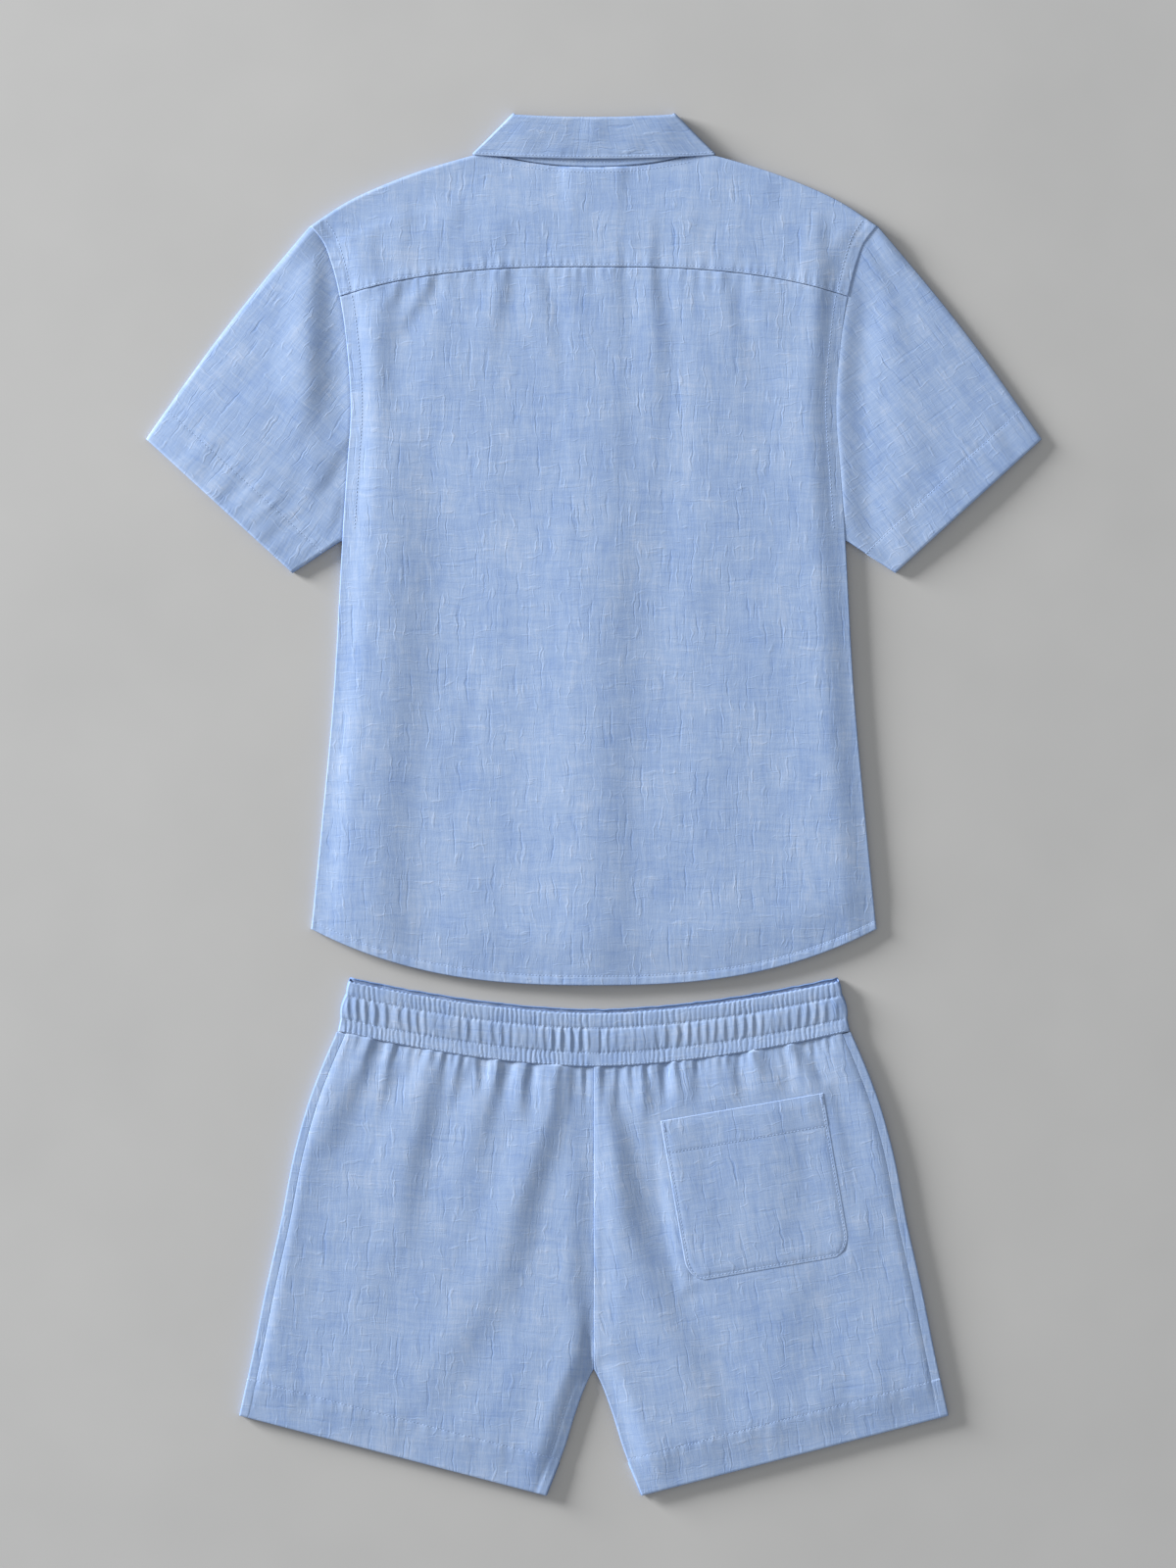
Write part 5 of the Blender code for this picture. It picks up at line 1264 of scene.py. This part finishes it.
def make_sleeve(name, node, side, crease_table, seed):
    """A flattened tube, in rows from the armhole, 0, past the stitching, 1, to the edge, 2, and inside."""
    levels = spread(UNDERARM_Y + 4.5, TIP_Y - 4.5, 2.5)
    levels = np.concatenate([[UNDERARM_Y + EDGE_RADIUS], levels, [TIP_Y - EDGE_RADIUS]])
    bend = np.array([-67.0, -45.0, -22.0, 0.0, 22.0, 45.0, 67.0])
    at_tip, at_underarm = np.full(len(bend), TIP_Y), np.full(len(bend), UNDERARM_Y)
    level = np.concatenate([levels, at_tip, levels[::-1], at_underarm])
    angle = np.radians(np.concatenate([np.full(len(levels), -90.0), bend, np.full(len(levels), 90.0), -bend]))
    outside = np.concatenate([
        [0.0, 0.002, 0.008, 0.018, 0.034], spread(0.05, 0.97, 0.019), [0.985, 0.995, 1.0, 1.02, 1.05, 1.1],
        spread(1.18, 1.93, 0.085),
    ])
    rows = [(r, 0.0) for r in outside]
    for a in np.radians([35.0, 62.0, 90.0, 118.0, 150.0, 180.0]):
        rows.append((2.0 - 0.025 * (1 - math.sin(a)), 0.72 * (1 - math.cos(a))))
    rows += [(r, TURNED_HEM) for r in (1.9, 1.75, 1.5, 1.05)]
    row = np.array([r for r, _ in rows])[:, None]
    wall = np.array([w for _, w in rows])[:, None]
    outer_hem, inner_hem = np.array(SLEEVE_HEM_OUTER), np.array(SLEEVE_HEM_INNER)
    edge = unit(outer_hem - (TIP_X, TIP_Y))
    outward = np.array([-edge[1], edge[0]])
    turn = EDGE_RADIUS * (1 - np.cos(angle)) + wall * np.cos(angle)
    level = np.where(level == TIP_Y, TIP_Y - turn, np.where(level == UNDERARM_Y, UNDERARM_Y + turn, level))
    down = (level - TIP_Y) / (UNDERARM_Y - TIP_Y)
    start_x, start_y = smooth(ARMHOLE, level) + SLEEVE_SEAM, level
    end_x, end_y = mix(outer_hem[0], inner_hem[0], down), mix(outer_hem[1], inner_hem[1], down)
    length = np.hypot(end_x - start_x, end_y - start_y)
    stitch = 1 - SLEEVE_HEM / length
    along = np.minimum(row, 1.0) * stitch + np.maximum(row - 1.0, 0.0) * (1 - stitch)
    under_body = 1.4 * ease(1 - along * length / 3.0) * (np.sin(angle) > 0.5)
    x = mix(start_x, end_x, along) - under_body
    y = mix(start_y, end_y, along)
    bulge = SLEEVE_BULGE * np.sin(math.pi * along) * (1 - down) ** 3
    x, y = x + outward[0] * bulge, y + outward[1] * bulge
    dome = np.maximum(np.sin(math.pi * np.clip(down, 0, 1)), 0.0) ** 0.7
    at_seam = back_low(start_x, start_y) + CLOTH - 0.45
    height = mix(at_seam, mix(SLEEVE_EDGE, SLEEVE_MID, dome), ease((along * length - 8.0) / SLEEVE_RISE))
    height = height + creases(crease_table, side * x, y) * ease(dome / 0.5)
    upper = np.clip(np.sin(angle), 0.0, 1.0)
    to_hem_line = (along - stitch) * length
    soft = ease(dome / 0.45) * upper
    hills = 0.08 * crumple(x + y, 0.5 * (x - y), 13.0, seed)
    hills = hills + 0.18 * crumple(x + y, 0.6 * (x - y), 32.0, seed + 1)
    hem_waves = 0.09 * ripples(down * 170.0, 19.0, seed + 2) * ease((to_hem_line + 26.0) / 26.0)
    puckers = 0.12 * ripples(down * 230.0, 8.0, seed + 3) * bell(to_hem_line, 5.0)
    height = height + (hills + hem_waves + puckers) * soft * ease(along / 0.05)
    height = height + (0.12 * ease((to_hem_line + 1.0) / 2.0) - 0.14 * bell(to_hem_line - 0.5, 1.0)) * soft
    height = height - 0.35 * ease(1 - along * length / 2.2) * upper
    height = soft_max(height, 1.9, 0.3)
    tall = height / 2 - wall
    z = height / 2 + tall * np.sin(angle)
    grid = points(side * x, y, z)
    if side < 0:
        grid = grid[:, ::-1]
    lean = math.degrees(math.atan2(edge[1], edge[0]))
    grain = turned_grain(grid[..., 0], grid[..., 1], side * (90.0 + lean), 1300.0 + 200 * side)
    worn = 0.15 * ease((row - 1.95) / 0.04)
    sleeve = cloth_sheet(name, grid, SHIRT_Y, SHIRT_CLOTH, grain, joined=True, worn=worn)
    own(sleeve, "shirt_cloth", node)
    rows_of = np.array([r for r, w in rows if w < 0.01])
    hem_row = np.interp(1.02, rows_of, np.arange(len(rows_of)))
    closed = np.concatenate([grid, grid[:, :1]], axis=1)
    lines = [row_line(closed, hem_row)]
    return sleeve, stitching(name + "_stitches", SHIRT_Y, lines, "shirt_cloth")


# Shorts, plan and heights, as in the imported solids


def leg_plan(w, row):
    """Plan points at shares w from the leg's inner edge to its side, at a place between the table's rows."""
    places = np.arange(len(LEG_ROWS))
    side_y = float(np.interp(row, places, [r[0] for r in LEG_ROWS]))
    inner_y = float(np.interp(row, places, [r[1] for r in LEG_ROWS]))
    bow = mix(BAND_BOW, 1.0, float(ease(row / (len(LEG_ROWS) - 1))))
    inner_x = float(smooth(INSEAM, inner_y)) if inner_y < CROTCH_Y else SEAM / 2
    x = mix(inner_x, float(smooth(OUTSEAM, side_y)), w)
    return x, mix(inner_y, side_y, np.asarray(w) ** bow)


def leg_hem_y(x):
    (inner_y, inner_x), (side_y, side_x) = INSEAM[0], OUTSEAM[0]
    return mix(inner_y, side_y, (x - inner_x) / (side_x - inner_x))


def under_pocket(x, y, start=0.0, ramp=POCKET_CALM_RAMP):
    """1 under the pocket, falling to 0 over a ramp that starts so far beyond its edge."""
    cos, sin = math.cos(POCKET_TILT), math.sin(POCKET_TILT)
    x, y = x - POCKET_CORNER[0], y - POCKET_CORNER[1]
    across, up = x * cos + y * sin, y * cos - x * sin
    beside = np.abs(across - POCKET_WIDTH / 2) - POCKET_WIDTH / 2
    away = np.maximum(beside, np.maximum(up, -POCKET_DEPTH - up))
    return ease(1 - (away - start) / ramp)


def pocket_depth(x, y):
    """How far the leg's cloth lies deeper under the pocket."""
    return 0.55 * under_pocket(x, y, -4.5, 3.0)


def leg_low(x, y, side):
    inner_x = np.where(y < CROTCH_Y, smooth(INSEAM, y), 0.0)
    at_hem = CLOTH + HEM_EXTRA + SEAM
    at_inner = mix(CENTRE_HEIGHT, at_hem + 0.1, ease((CROTCH_Y + INSEAM_RAMP - y) / INSEAM_RAMP))
    low = mix(at_inner, CLOTH + SEAM + LOFT, ease((x - inner_x) / CENTRE_SOFTNESS))
    low = mix(OUTSEAM_HEIGHT, low, ease((smooth(OUTSEAM, y) - x) / OUTSEAM_SOFTNESS))
    if side > 0:
        folds = creases(RIGHT_LEG_CREASES, x, y) * (1 - POCKET_CALM * under_pocket(x, y))
        folds = folds + creases(POCKET_CREASES, x, y)
    else:
        folds = creases(LEFT_LEG_CREASES, -x, y)
    from_hem = ease((y - leg_hem_y(x)) / LEG_HEM_SOFTNESS)
    low = mix(at_hem + 1.5, low + 0.7 * ease((smooth(OUTSEAM, y) - x) / OUTSEAM_SOFTNESS), from_hem)
    return soft_max(low + folds * mix(0.6, 1.0, from_hem), at_hem, 0.3)


def band_bottom_y(x):
    share = np.clip(np.abs(x) / BAND_BOTTOM_HALF, 0, 1)
    return mix(BAND_BOTTOM_MID, BAND_BOTTOM_SIDE, share**BAND_BOW)


def leg_relief(x, y, side):
    """Gathers that fan out below the band, and the linen's small hills."""
    seed = 100 + 20 * (side > 0)
    below_band = band_bottom_y(x) - y
    fan = side * x * (1 - 0.10 * np.clip(below_band, 0, 120) / 100)
    gathers = 0.15 * ripples(fan, 15.5, seed) * ease(1 - below_band / 55.0)
    gathers = gathers - 1.9 * tucks(fan, below_band, 15.5, seed + 6, 0.3) * ease(1 - below_band / 55.0) ** 1.4
    gathers = gathers - 0.8 * tucks(fan, below_band, 7.6, seed + 8, 0.42) * ease(1 - below_band / 20.0)
    free = 1 - 0.85 * under_pocket(x, y) if side > 0 else 1.0
    hills = 0.07 * crumple(x, 0.5 * y, 12.0, seed + 4) + 0.2 * crumple(x, 0.45 * y, 31.0, seed + 5)
    return (gathers * ease(x / 8.0) + hills) * free


# Shorts, pieces


def make_shorts_back(name, node, side):
    w_inner = np.array([0.0, 0.3, 0.7, 1.3, 2.2, 3.4]) / LEG_WIDTH
    w_outer = 1 - np.array([3.0, 1.8, 1.0, 0.5, 0.2, 0.0]) / LEG_WIDTH
    w = np.concatenate([w_inner, spread(w_inner[-1], w_outer[0], 1.85 / LEG_WIDTH)[1:-1], w_outer])
    fold_radius = (CLOTH + HEM_EXTRA) / 2
    last = len(LEG_ROWS) - 1
    rows = [0.0, 0.1, 0.25, 0.45, 0.7, *spread(0.95, 8.0, 0.082), *spread(8.05, 10.0, 0.075)]
    rows += [10.3, 10.6, 10.95, 11.0, 11.03, 11.07, *spread(11.14, 11.94, 0.08)]
    count_top = len(rows)
    bends = [66.0, 35.0, 5.0, -30.0, -62.0, -90.0]
    grid, wear = [], []
    for number, row in enumerate(rows + bends + [11.9, 11.6, 11.1]):
        bent = count_top <= number < count_top + len(bends)
        turned = number >= count_top + len(bends)
        angle = math.radians(row) if bent else math.pi / 2
        at = last - fold_radius * (1 - math.cos(angle)) / LEG_HEM if bent else row
        x, y = leg_plan(w, at)
        edge_x = x[-1]
        seam_x = edge_x - SIDE_TURN - 0.05
        start_x = x[0] - 0.12 * (x[0] < 1)
        narrowed = start_x + (x - x[0]) * (seam_x - start_x) / (edge_x - x[0])
        y = np.interp(narrowed, x, y)
        low = leg_low(narrowed, y, side)
        from_inner, from_side = narrowed - start_x, seam_x - narrowed
        to_hem_line = (11.0 - at) * LEG_HEM if at > 10 else 99.0
        below_band = band_bottom_y(narrowed) - y
        free = ease((y - leg_hem_y(narrowed)) / 26.0) * ease(from_side / 14.0)
        free = free * ease(from_inner / 12.0 + 0.15)
        top = low + CLOTH + leg_relief(narrowed, y, side) * free
        if side > 0:
            top = top - pocket_depth(narrowed, y)
        top = top + HEM_STEP * ease((at - 10.97) / 0.06)
        top = top + 0.14 * ripples(narrowed, 9.0, 141) * bell(to_hem_line, 6.0)
        top = top - 0.14 * bell(to_hem_line, 1.1)
        top = top - 0.15 * ease(1 - below_band / 4.0)
        if number == 0:
            y, top = y + 1.8, top - 0.35
        above_crotch = ease((y - CROTCH_Y) / 10.0)
        top = top - mix(1.0, 0.14, above_crotch) * rounded(from_inner, 1.2)
        top = top - 0.05 * rounded(from_side, 0.9)
        if side < 0:
            tuck = ease((y + 318.0) / 10.0) * ease((-262.0 - y) / 26.0)
            top = top - 1.9 * tuck * ease(1 - np.abs(narrowed - 5.0) / 6.0)
            seam = 0.35 * ease((10.0 - from_inner) / 2.0) - 0.4 * bell(from_inner - 8.8, 0.9)
            top = top + seam * ease((-306.0 - y) / 14.0)
        else:
            top = top + 0.14 * bell(from_inner - 3.6, 1.6) * above_crotch
        if turned:
            z = low + 0.02
        elif bent:
            z = mix(low, top, (1 + math.sin(angle)) / 2)
        else:
            z = top
        grid.append(points(side * narrowed, y, z))
        wear.append(np.full(len(w), 0.2 * float(ease((at - 11.94) / 0.05))))
    grid = np.array(grid)
    worn = np.array(wear)
    if side > 0:
        grid, worn = grid[:, ::-1], worn[:, ::-1]
    grain = turned_grain(grid[..., 0], grid[..., 1], 9.0 if side > 0 else -3.0, 2000.0 + 400 * side)
    back = cloth_sheet(name, grid, SHORTS_Y, SHORTS_CLOTH, grain, worn=worn)
    own(back, "shorts_cloth", node)
    hem_row = rows.index(11.0) + 0.5
    lines = [row_line(grid, hem_row, 3, -3)]
    if side < 0:
        column = np.interp(8.0, np.abs(grid[0, :, 0]), np.arange(len(w)))
        start = next(i for i in range(count_top) if grid[i, 0, 1] < -322.0)
        lines.append(column_line(grid, column, start, rows.index(11.0)))
    return back, stitching(name + "_stitches", SHORTS_Y, lines, "shorts_cloth")


def make_shorts_front(name, node, side):
    """The front lies below. At the side it turns up round the fold and onto the back."""
    bend = np.radians([-75.0, -50.0, -25.0, 0.0, 25.0, 50.0, 75.0])
    last = len(LEG_ROWS) - 1
    fold_radius = (CLOTH + HEM_EXTRA) / 2
    rows = list(spread(0.0, 10.9, 0.22)) + [11.0, 11.06, 11.4, 11.7, 11.93]
    count_top = len(rows)
    bends = [60.0, 25.0, -10.0, -45.0, -90.0]
    grid = []
    for number, row in enumerate(rows + bends + [11.8, 11.1]):
        bent = count_top <= number < count_top + len(bends)
        turned = number >= count_top + len(bends)
        angle = math.radians(row) if bent else math.pi / 2
        at = last - fold_radius * (1 - math.cos(angle)) / LEG_HEM if bent else row
        edge_x, edge_y = leg_plan(1.0, at)
        start_x, _ = leg_plan(0.0, at)
        seam_x = edge_x - SIDE_TURN
        w = np.concatenate([np.array([0.0, 0.3, 0.8, 1.6]) / LEG_WIDTH, spread(0.012, 0.97, 0.022)])
        x, y = leg_plan(np.append(w, 1 - EDGE_RADIUS / (edge_x - start_x)), at)
        gathers = 0.5 + 0.5 * np.sin(2 * math.pi * x / GATHER_PITCH)
        low = gathers * ease((y + GATHER_DEPTH) / GATHER_RAMP) * ease((edge_x - x) / 12.0)
        low = low + 0.9 * rounded(x - start_x, 1.2)
        depth = TURNED_HEM * (1 - math.sin(angle)) / 2 if bent else (TURNED_HEM if turned else 0.0)
        top = float(leg_low(np.array(seam_x), np.array(edge_y), side)) + CLOTH
        top = top + HEM_STEP * float(ease((at - 10.97) / 0.06))
        turn_x = edge_x - EDGE_RADIUS * (1 - np.cos(bend)) - depth * np.cos(bend)
        onto_x = edge_x - np.array([EDGE_RADIUS, 1.6, 3.0, 4.6, 6.2, SIDE_TURN, SIDE_TURN + 1.6])
        over_x = np.append(turn_x, onto_x)
        _, over_y = leg_plan((over_x - start_x) / (edge_x - start_x), at)
        at_edge = top - 0.12
        onto_z = top - depth - 0.12 * ease(1 - (edge_x - onto_x) / 6.5) - 0.5 * (onto_x < seam_x - 1)
        over_z = np.append(at_edge / 2 + (at_edge / 2 - depth) * np.sin(bend), onto_z)
        below_band = band_bottom_y(over_x) - over_y
        over_z = over_z + 0.2 * ripples(over_y, 12.0, 151) * ease(1 - below_band / 60.0) * (over_z > 2.6)
        over_z[len(bend):] -= 0.15 * ease(1 - below_band[len(bend):] / 4.0)
        row_points = np.concatenate([points(x, y, low + depth), points(over_x, over_y, over_z)])
        grid.append(row_points * (side, 1, 1))
    grid = np.array(grid)
    if side < 0:
        grid = grid[:, ::-1]
    grain = turned_grain(grid[..., 0], grid[..., 1], 5.0 * side, 3200.0 + 400 * side)
    front = cloth_sheet(name, grid, SHORTS_Y, SHORTS_CLOTH, grain)
    own(front, "shorts_cloth", node)
    hem_row = rows.index(11.0) + 0.5
    lines = [row_line(grid, hem_row, 3, -3)]
    return front, stitching(name + "_stitches", SHORTS_Y, lines, "shorts_cloth")


def make_waistband():
    """An elastic casing in one ring: fine gathers along its edges and loose puffs between its stitching."""
    first, second = BAND_ROWS
    down = np.concatenate([
        [0.0, 0.3, 0.8, 1.5], spread(2.4, first - 1.4, 1.0), [first - 0.6, first + 0.1],
        spread(first + 1.0, second - 1.0, 1.05), [second - 0.2, second + 0.6],
        spread(second + 1.5, BAND_DEPTH - 2.2, 1.0), BAND_DEPTH - np.array([1.4, 0.8, 0.3, 0.0]),
    ])
    down = down[:, None]
    below = spread(-1, 1, 0.02)
    above = spread(0.999, -0.999, 0.0034)
    bend = np.array([-70.0, -50.0, -30.0, -10.0, 10.0, 30.0, 50.0, 70.0])
    share = np.concatenate([below, np.full(8, 1.0), above, np.full(8, -1.0)])
    angle = np.radians(np.concatenate([np.full(len(below), -90.0), bend, np.full(len(above), 90.0), -bend]))
    part = down / BAND_DEPTH
    in_first = np.clip(down / first, 0, 1)
    in_middle = np.clip((down - first) / (second - first), 0, 1)
    in_last = np.clip((down - second) / (BAND_DEPTH - second), 0, 1)
    half = mix(BAND_TOP_HALF, BAND_BOTTOM_HALF, part) - 0.5
    half = half + 1.9 * np.sin(math.pi * in_middle) ** 0.8 + 0.6 * np.sin(math.pi * in_first)
    inset = BAND_RADIUS * (1 - np.cos(angle))
    x = share * (half - inset)
    middle = mix(BAND_PEEP * (1 - np.sin(angle)) / 2, BAND_BOTTOM_MID, part)
    rise = mix(BAND_TOP_RISE, BAND_BOTTOM_SIDE - BAND_BOTTOM_MID, part)
    y = middle + rise * np.abs(share) ** BAND_BOW
    scallops = np.where(np.sin(angle) > 0, ripples(x, 4.3, 189), ripples(x, 5.1, 193))
    y = y + 0.45 * scallops * np.exp(-down / 2.2)
    edge = np.minimum(down, BAND_DEPTH - down)
    z = BAND_HEIGHT / 2 + BAND_HEIGHT / 2 * np.sin(angle)
    on_top = np.clip(np.sin(angle), 0, 1)
    z = z + 0.4 * (1 + ripples(x, 4.6, 197)) * (np.sin(angle) < -0.95) * np.exp(-down / 4.0)
    puff = 0.3 * np.sin(math.pi * in_first) ** 0.8 + 0.75 * np.sin(math.pi * in_middle**0.68) ** 0.8
    puff = puff + 0.55 * ease(in_last / 0.9) * (down > second)

    def grooves(pitch, seed, sharp, lean=0.0):
        """Narrow valleys between rounded crests, from 0 to 1, at an uneven pitch."""
        at = x + lean * (down - BAND_DEPTH / 2)
        phase = at / pitch + 0.5 * crumple(at, 0.0, 3.4 * pitch, seed)
        phase = phase + 0.2 * crumple(at, down, 1.3 * pitch, seed + 1)
        deep = 0.55 + 0.45 * crumple(at, 0.35 * down, 1.9 * pitch, seed + 2)
        return (1 - np.abs(np.sin(math.pi * phase)) ** sharp) * deep

    fine_first = grooves(4.3, 161, 0.9) * (down <= first + 1) * ease((down + 1.5) / 3.0)
    fine_last = grooves(4.1, 171, 0.9) * (down >= second - 1)
    loose = 0.85 * tucks(x, down, 8.0, 181, 0.26) * np.sin(math.pi * in_middle) ** 0.35
    between_lines = (in_middle > 0) & (in_middle < 1)
    loose = loose + 0.4 * grooves(4.6, 185, 0.7) * (1 - np.sin(math.pi * in_middle)) * between_lines
    relief = puff - 0.42 * fine_first - 0.42 * fine_last - 1.15 * loose
    flat_patch = ease((np.abs(x + 1.5 * crumple(0.0, down, 9.0, 187)) - 2.2) / 3.6)
    relief = mix(0.6 * puff, relief, flat_patch)
    lines_pressed = 0.14 * bell(down - first, 1.0) + 0.14 * bell(down - second, 1.0)
    near_side = ease((1 - np.abs(share)) / 0.02)
    z = z + (relief - lines_pressed) * on_top * near_side * ease(edge / 1.4 + 0.35)
    z = z - mix(1.1, 0.12, down > second) * rounded(edge, 1.2) * np.sin(angle)
    grid = points(x, y, z)
    run = np.concatenate([[0.0], np.cumsum(np.linalg.norm(np.diff(grid[20, :, :2], axis=0), axis=1))])
    grain = np.stack(np.broadcast_arrays(run[None, :], down), axis=-1) * MM
    band = cloth_sheet("shorts_waistband_casing", grid, SHORTS_Y, BAND_CLOTH, grain, joined=True, wall=1.3)
    own(band, "shorts_cloth", "shorts_waistband")
    flat_down = down[:, 0]
    lines = []
    for place in (*BAND_ROWS, BAND_DEPTH - 1.6):
        at = np.interp(place, flat_down, np.arange(len(flat_down)))
        start = len(below) + len(bend)
        lines.append((*row_line(grid, at, start + 4, start + len(above) - 4), 2.6, 0.4))
    return band, stitching("shorts_waistband_stitches", SHORTS_Y, lines, "shorts_cloth")


def make_pocket():
    edge_down = np.array([0.0, 0.25, 0.6, 1.1, 1.8, 2.8])
    down = np.concatenate([
        edge_down, spread(4.2, POCKET_HEM - 1.6, 1.9), POCKET_HEM + np.array([-0.6, 0.3, 1.2]),
        spread(POCKET_HEM + 2.6, POCKET_DEPTH - 22.0, 2.1),
        spread(POCKET_DEPTH - 20.5, POCKET_DEPTH - 4.0, 1.3), POCKET_DEPTH - edge_down[::-1],
    ])[:, None]
    into = np.clip(down - (POCKET_DEPTH - POCKET_ROUND), 0, POCKET_ROUND)
    trim = POCKET_TRIM * (POCKET_ROUND - np.sqrt(np.maximum(POCKET_ROUND**2 - into**2, 0)))
    inner = spread(4.4, POCKET_WIDTH - 4.4, 1.95)
    inside = np.concatenate([edge_down, inner, POCKET_WIDTH - edge_down[::-1]])
    across = mix(trim, POCKET_WIDTH - trim, inside / POCKET_WIDTH)
    cos, sin = math.cos(POCKET_TILT), math.sin(POCKET_TILT)
    x = POCKET_CORNER[0] + across * cos + down * sin
    y = POCKET_CORNER[1] + across * sin - down * cos
    from_side = np.minimum(inside, POCKET_WIDTH - inside)
    from_edge = np.minimum(from_side, np.minimum(down, POCKET_DEPTH - down))
    sewn = np.minimum(from_side, POCKET_DEPTH - down)
    top = leg_low(x, y, 1) + CLOTH + 0.22 + 0.3 * ease(from_edge / 8.0)
    top = top + 0.12 * ease((POCKET_HEM + 0.6 - down) / 1.2)
    top = top - 0.14 * bell(sewn - 2.6, 0.8) - 0.12 * bell(down - POCKET_HEM, 0.9)
    soft = ease(from_edge / 12.0)
    top = top + (0.1 * crumple(x, 0.5 * y, 12.0, 191) + 0.22 * crumple(x, 0.5 * y, 30.0, 192)) * soft
    top = top + 0.16 * ripples(x + y, 7.5, 195) * bell(sewn - 5.0, 3.0) * ease(sewn / 2.0)
    top = top - 0.25 * rounded(from_edge, 0.6)
    grid = points(x, y, top)
    grain = turned_grain(grid[..., 0], grid[..., 1], math.degrees(POCKET_TILT), 3000.0)
    worn = 0.15 * ease(1 - from_edge / 1.6)
    pocket = cloth_sheet(
        "shorts_patch_pocket", grid[::-1], SHORTS_Y, SHORTS_CLOTH, grain[::-1], wall=0.35, worn=worn[::-1]
    )
    own(pocket, "shorts_cloth", "shorts_back_pocket")
    rows, columns = np.arange(len(down)), np.arange(len(inside))
    side_in = np.interp(2.6, inside, columns)
    bottom_in = np.interp(POCKET_DEPTH - 2.6, down[:, 0], rows)
    lines = [
        column_line(grid, side_in, 1, int(bottom_in), -1.0),
        column_line(grid, len(inside) - 1.01 - side_in, 1, int(bottom_in), -1.0),
        row_line(grid, bottom_in, 3, -3, -1.0),
        row_line(grid, np.interp(POCKET_HEM, down[:, 0], rows), 2, -2, -1.0),
    ]
    for corner in (2.2, POCKET_WIDTH - 2.2):
        for beside in (-0.6, 0.0, 0.6):
            ends = np.array([2.0, 9.5])
            ax = POCKET_CORNER[0] + (corner + beside) * cos + ends * sin
            ay = POCKET_CORNER[1] + (corner + beside) * sin - ends * cos
            az = leg_low(ax, ay, 1) + CLOTH + 0.42
            lines.append((points(ax, ay, az), np.tile((0.0, 0.0, 1.0), (2, 1)), 1.0, 0.6))
    return pocket, stitching("shorts_pocket_stitches", SHORTS_Y, lines, "shorts_cloth")


# Making the cloth


front_left, front_left_seams = make_shirt_front("shirt_front_left_panel", "shirt_front_left", -1, False)
front_right, front_right_seams = make_shirt_front("shirt_front_right_panel", "shirt_front_right", 1, True)
placket, placket_seams = make_shirt_placket()
make_buttons()
stand, stand_seams = make_stand()
collar, collar_seams = make_collar()
back, back_seams = make_shirt_back()
yoke, yoke_seams = make_shirt_yoke()
sleeve_left, sleeve_left_seams = make_sleeve(
    "shirt_sleeve_left_tube", "shirt_sleeve_left", -1, LEFT_SLEEVE_CREASES, 201
)
sleeve_right, sleeve_right_seams = make_sleeve(
    "shirt_sleeve_right_tube", "shirt_sleeve_right", 1, RIGHT_SLEEVE_CREASES, 221
)
leg_front_left, leg_front_left_seams = make_shorts_front("shorts_front_left_panel", "shorts_front_left", -1)
leg_front_right, leg_front_right_seams = make_shorts_front(
    "shorts_front_right_panel", "shorts_front_right", 1
)
leg_back_left, leg_back_left_seams = make_shorts_back("shorts_back_left_panel", "shorts_back_left", -1)
leg_back_right, leg_back_right_seams = make_shorts_back("shorts_back_right_panel", "shorts_back_right", 1)
band, band_seams = make_waistband()
pocket, pocket_seams = make_pocket()


# Floor, light and camera


def make_floor():
    deselect()
    bpy.ops.mesh.primitive_plane_add(size=9.0, location=(0, 0, -0.0003))
    floor = bpy.context.object
    floor.name = "floor"
    bpy.ops.object.transform_apply(location=True, rotation=True, scale=True)
    made, tree, shader = new_finish("pale grey surface")
    where = add(tree, "ShaderNodeTexCoord").outputs["Object"]
    cloudy = noise(tree, where, (6, 6), 3.0)
    ramp = two_tones(tree, cloudy, (0.488, 0.486, 0.480), (0.522, 0.519, 0.512), 0.25, 0.75)
    tree.links.new(ramp.outputs[0], shader.inputs["Base Color"])
    shader.inputs["Roughness"].default_value = 0.9
    shader.inputs["Specular IOR Level"].default_value = 0.15
    floor.data.materials.append(made)


def make_window():
    """One large soft light, low at the upper left."""
    lamp = bpy.data.lights.new("window", "AREA")
    lamp.shape, lamp.energy = "RECTANGLE", WINDOW_WATTS
    lamp.size, lamp.size_y = WINDOW_SIZE
    light = bpy.data.objects.new("window", lamp)
    bpy.context.scene.collection.objects.link(light)
    light.location = WINDOW
    light.rotation_mode = "QUATERNION"
    light.rotation_quaternion = (-light.location).to_track_quat("-Z", "Y")


def make_sky():
    world = bpy.data.worlds.new("room")
    bpy.context.scene.world = world
    world.use_nodes = True
    background = world.node_tree.nodes["Background"]
    background.inputs["Color"].default_value = (*SKY, 1)
    background.inputs["Strength"].default_value = SKY_STRENGTH


def make_camera():
    """Straight above, looking down."""
    lens = bpy.data.cameras.new("camera")
    lens.lens, lens.clip_end = LENS, 20.0
    camera = bpy.data.objects.new("camera", lens)
    bpy.context.scene.collection.objects.link(camera)
    camera.location = CAMERA
    bpy.context.scene.camera = camera


make_floor()
make_window()
make_sky()
make_camera()
bpy.context.scene.view_settings.view_transform = "Standard"
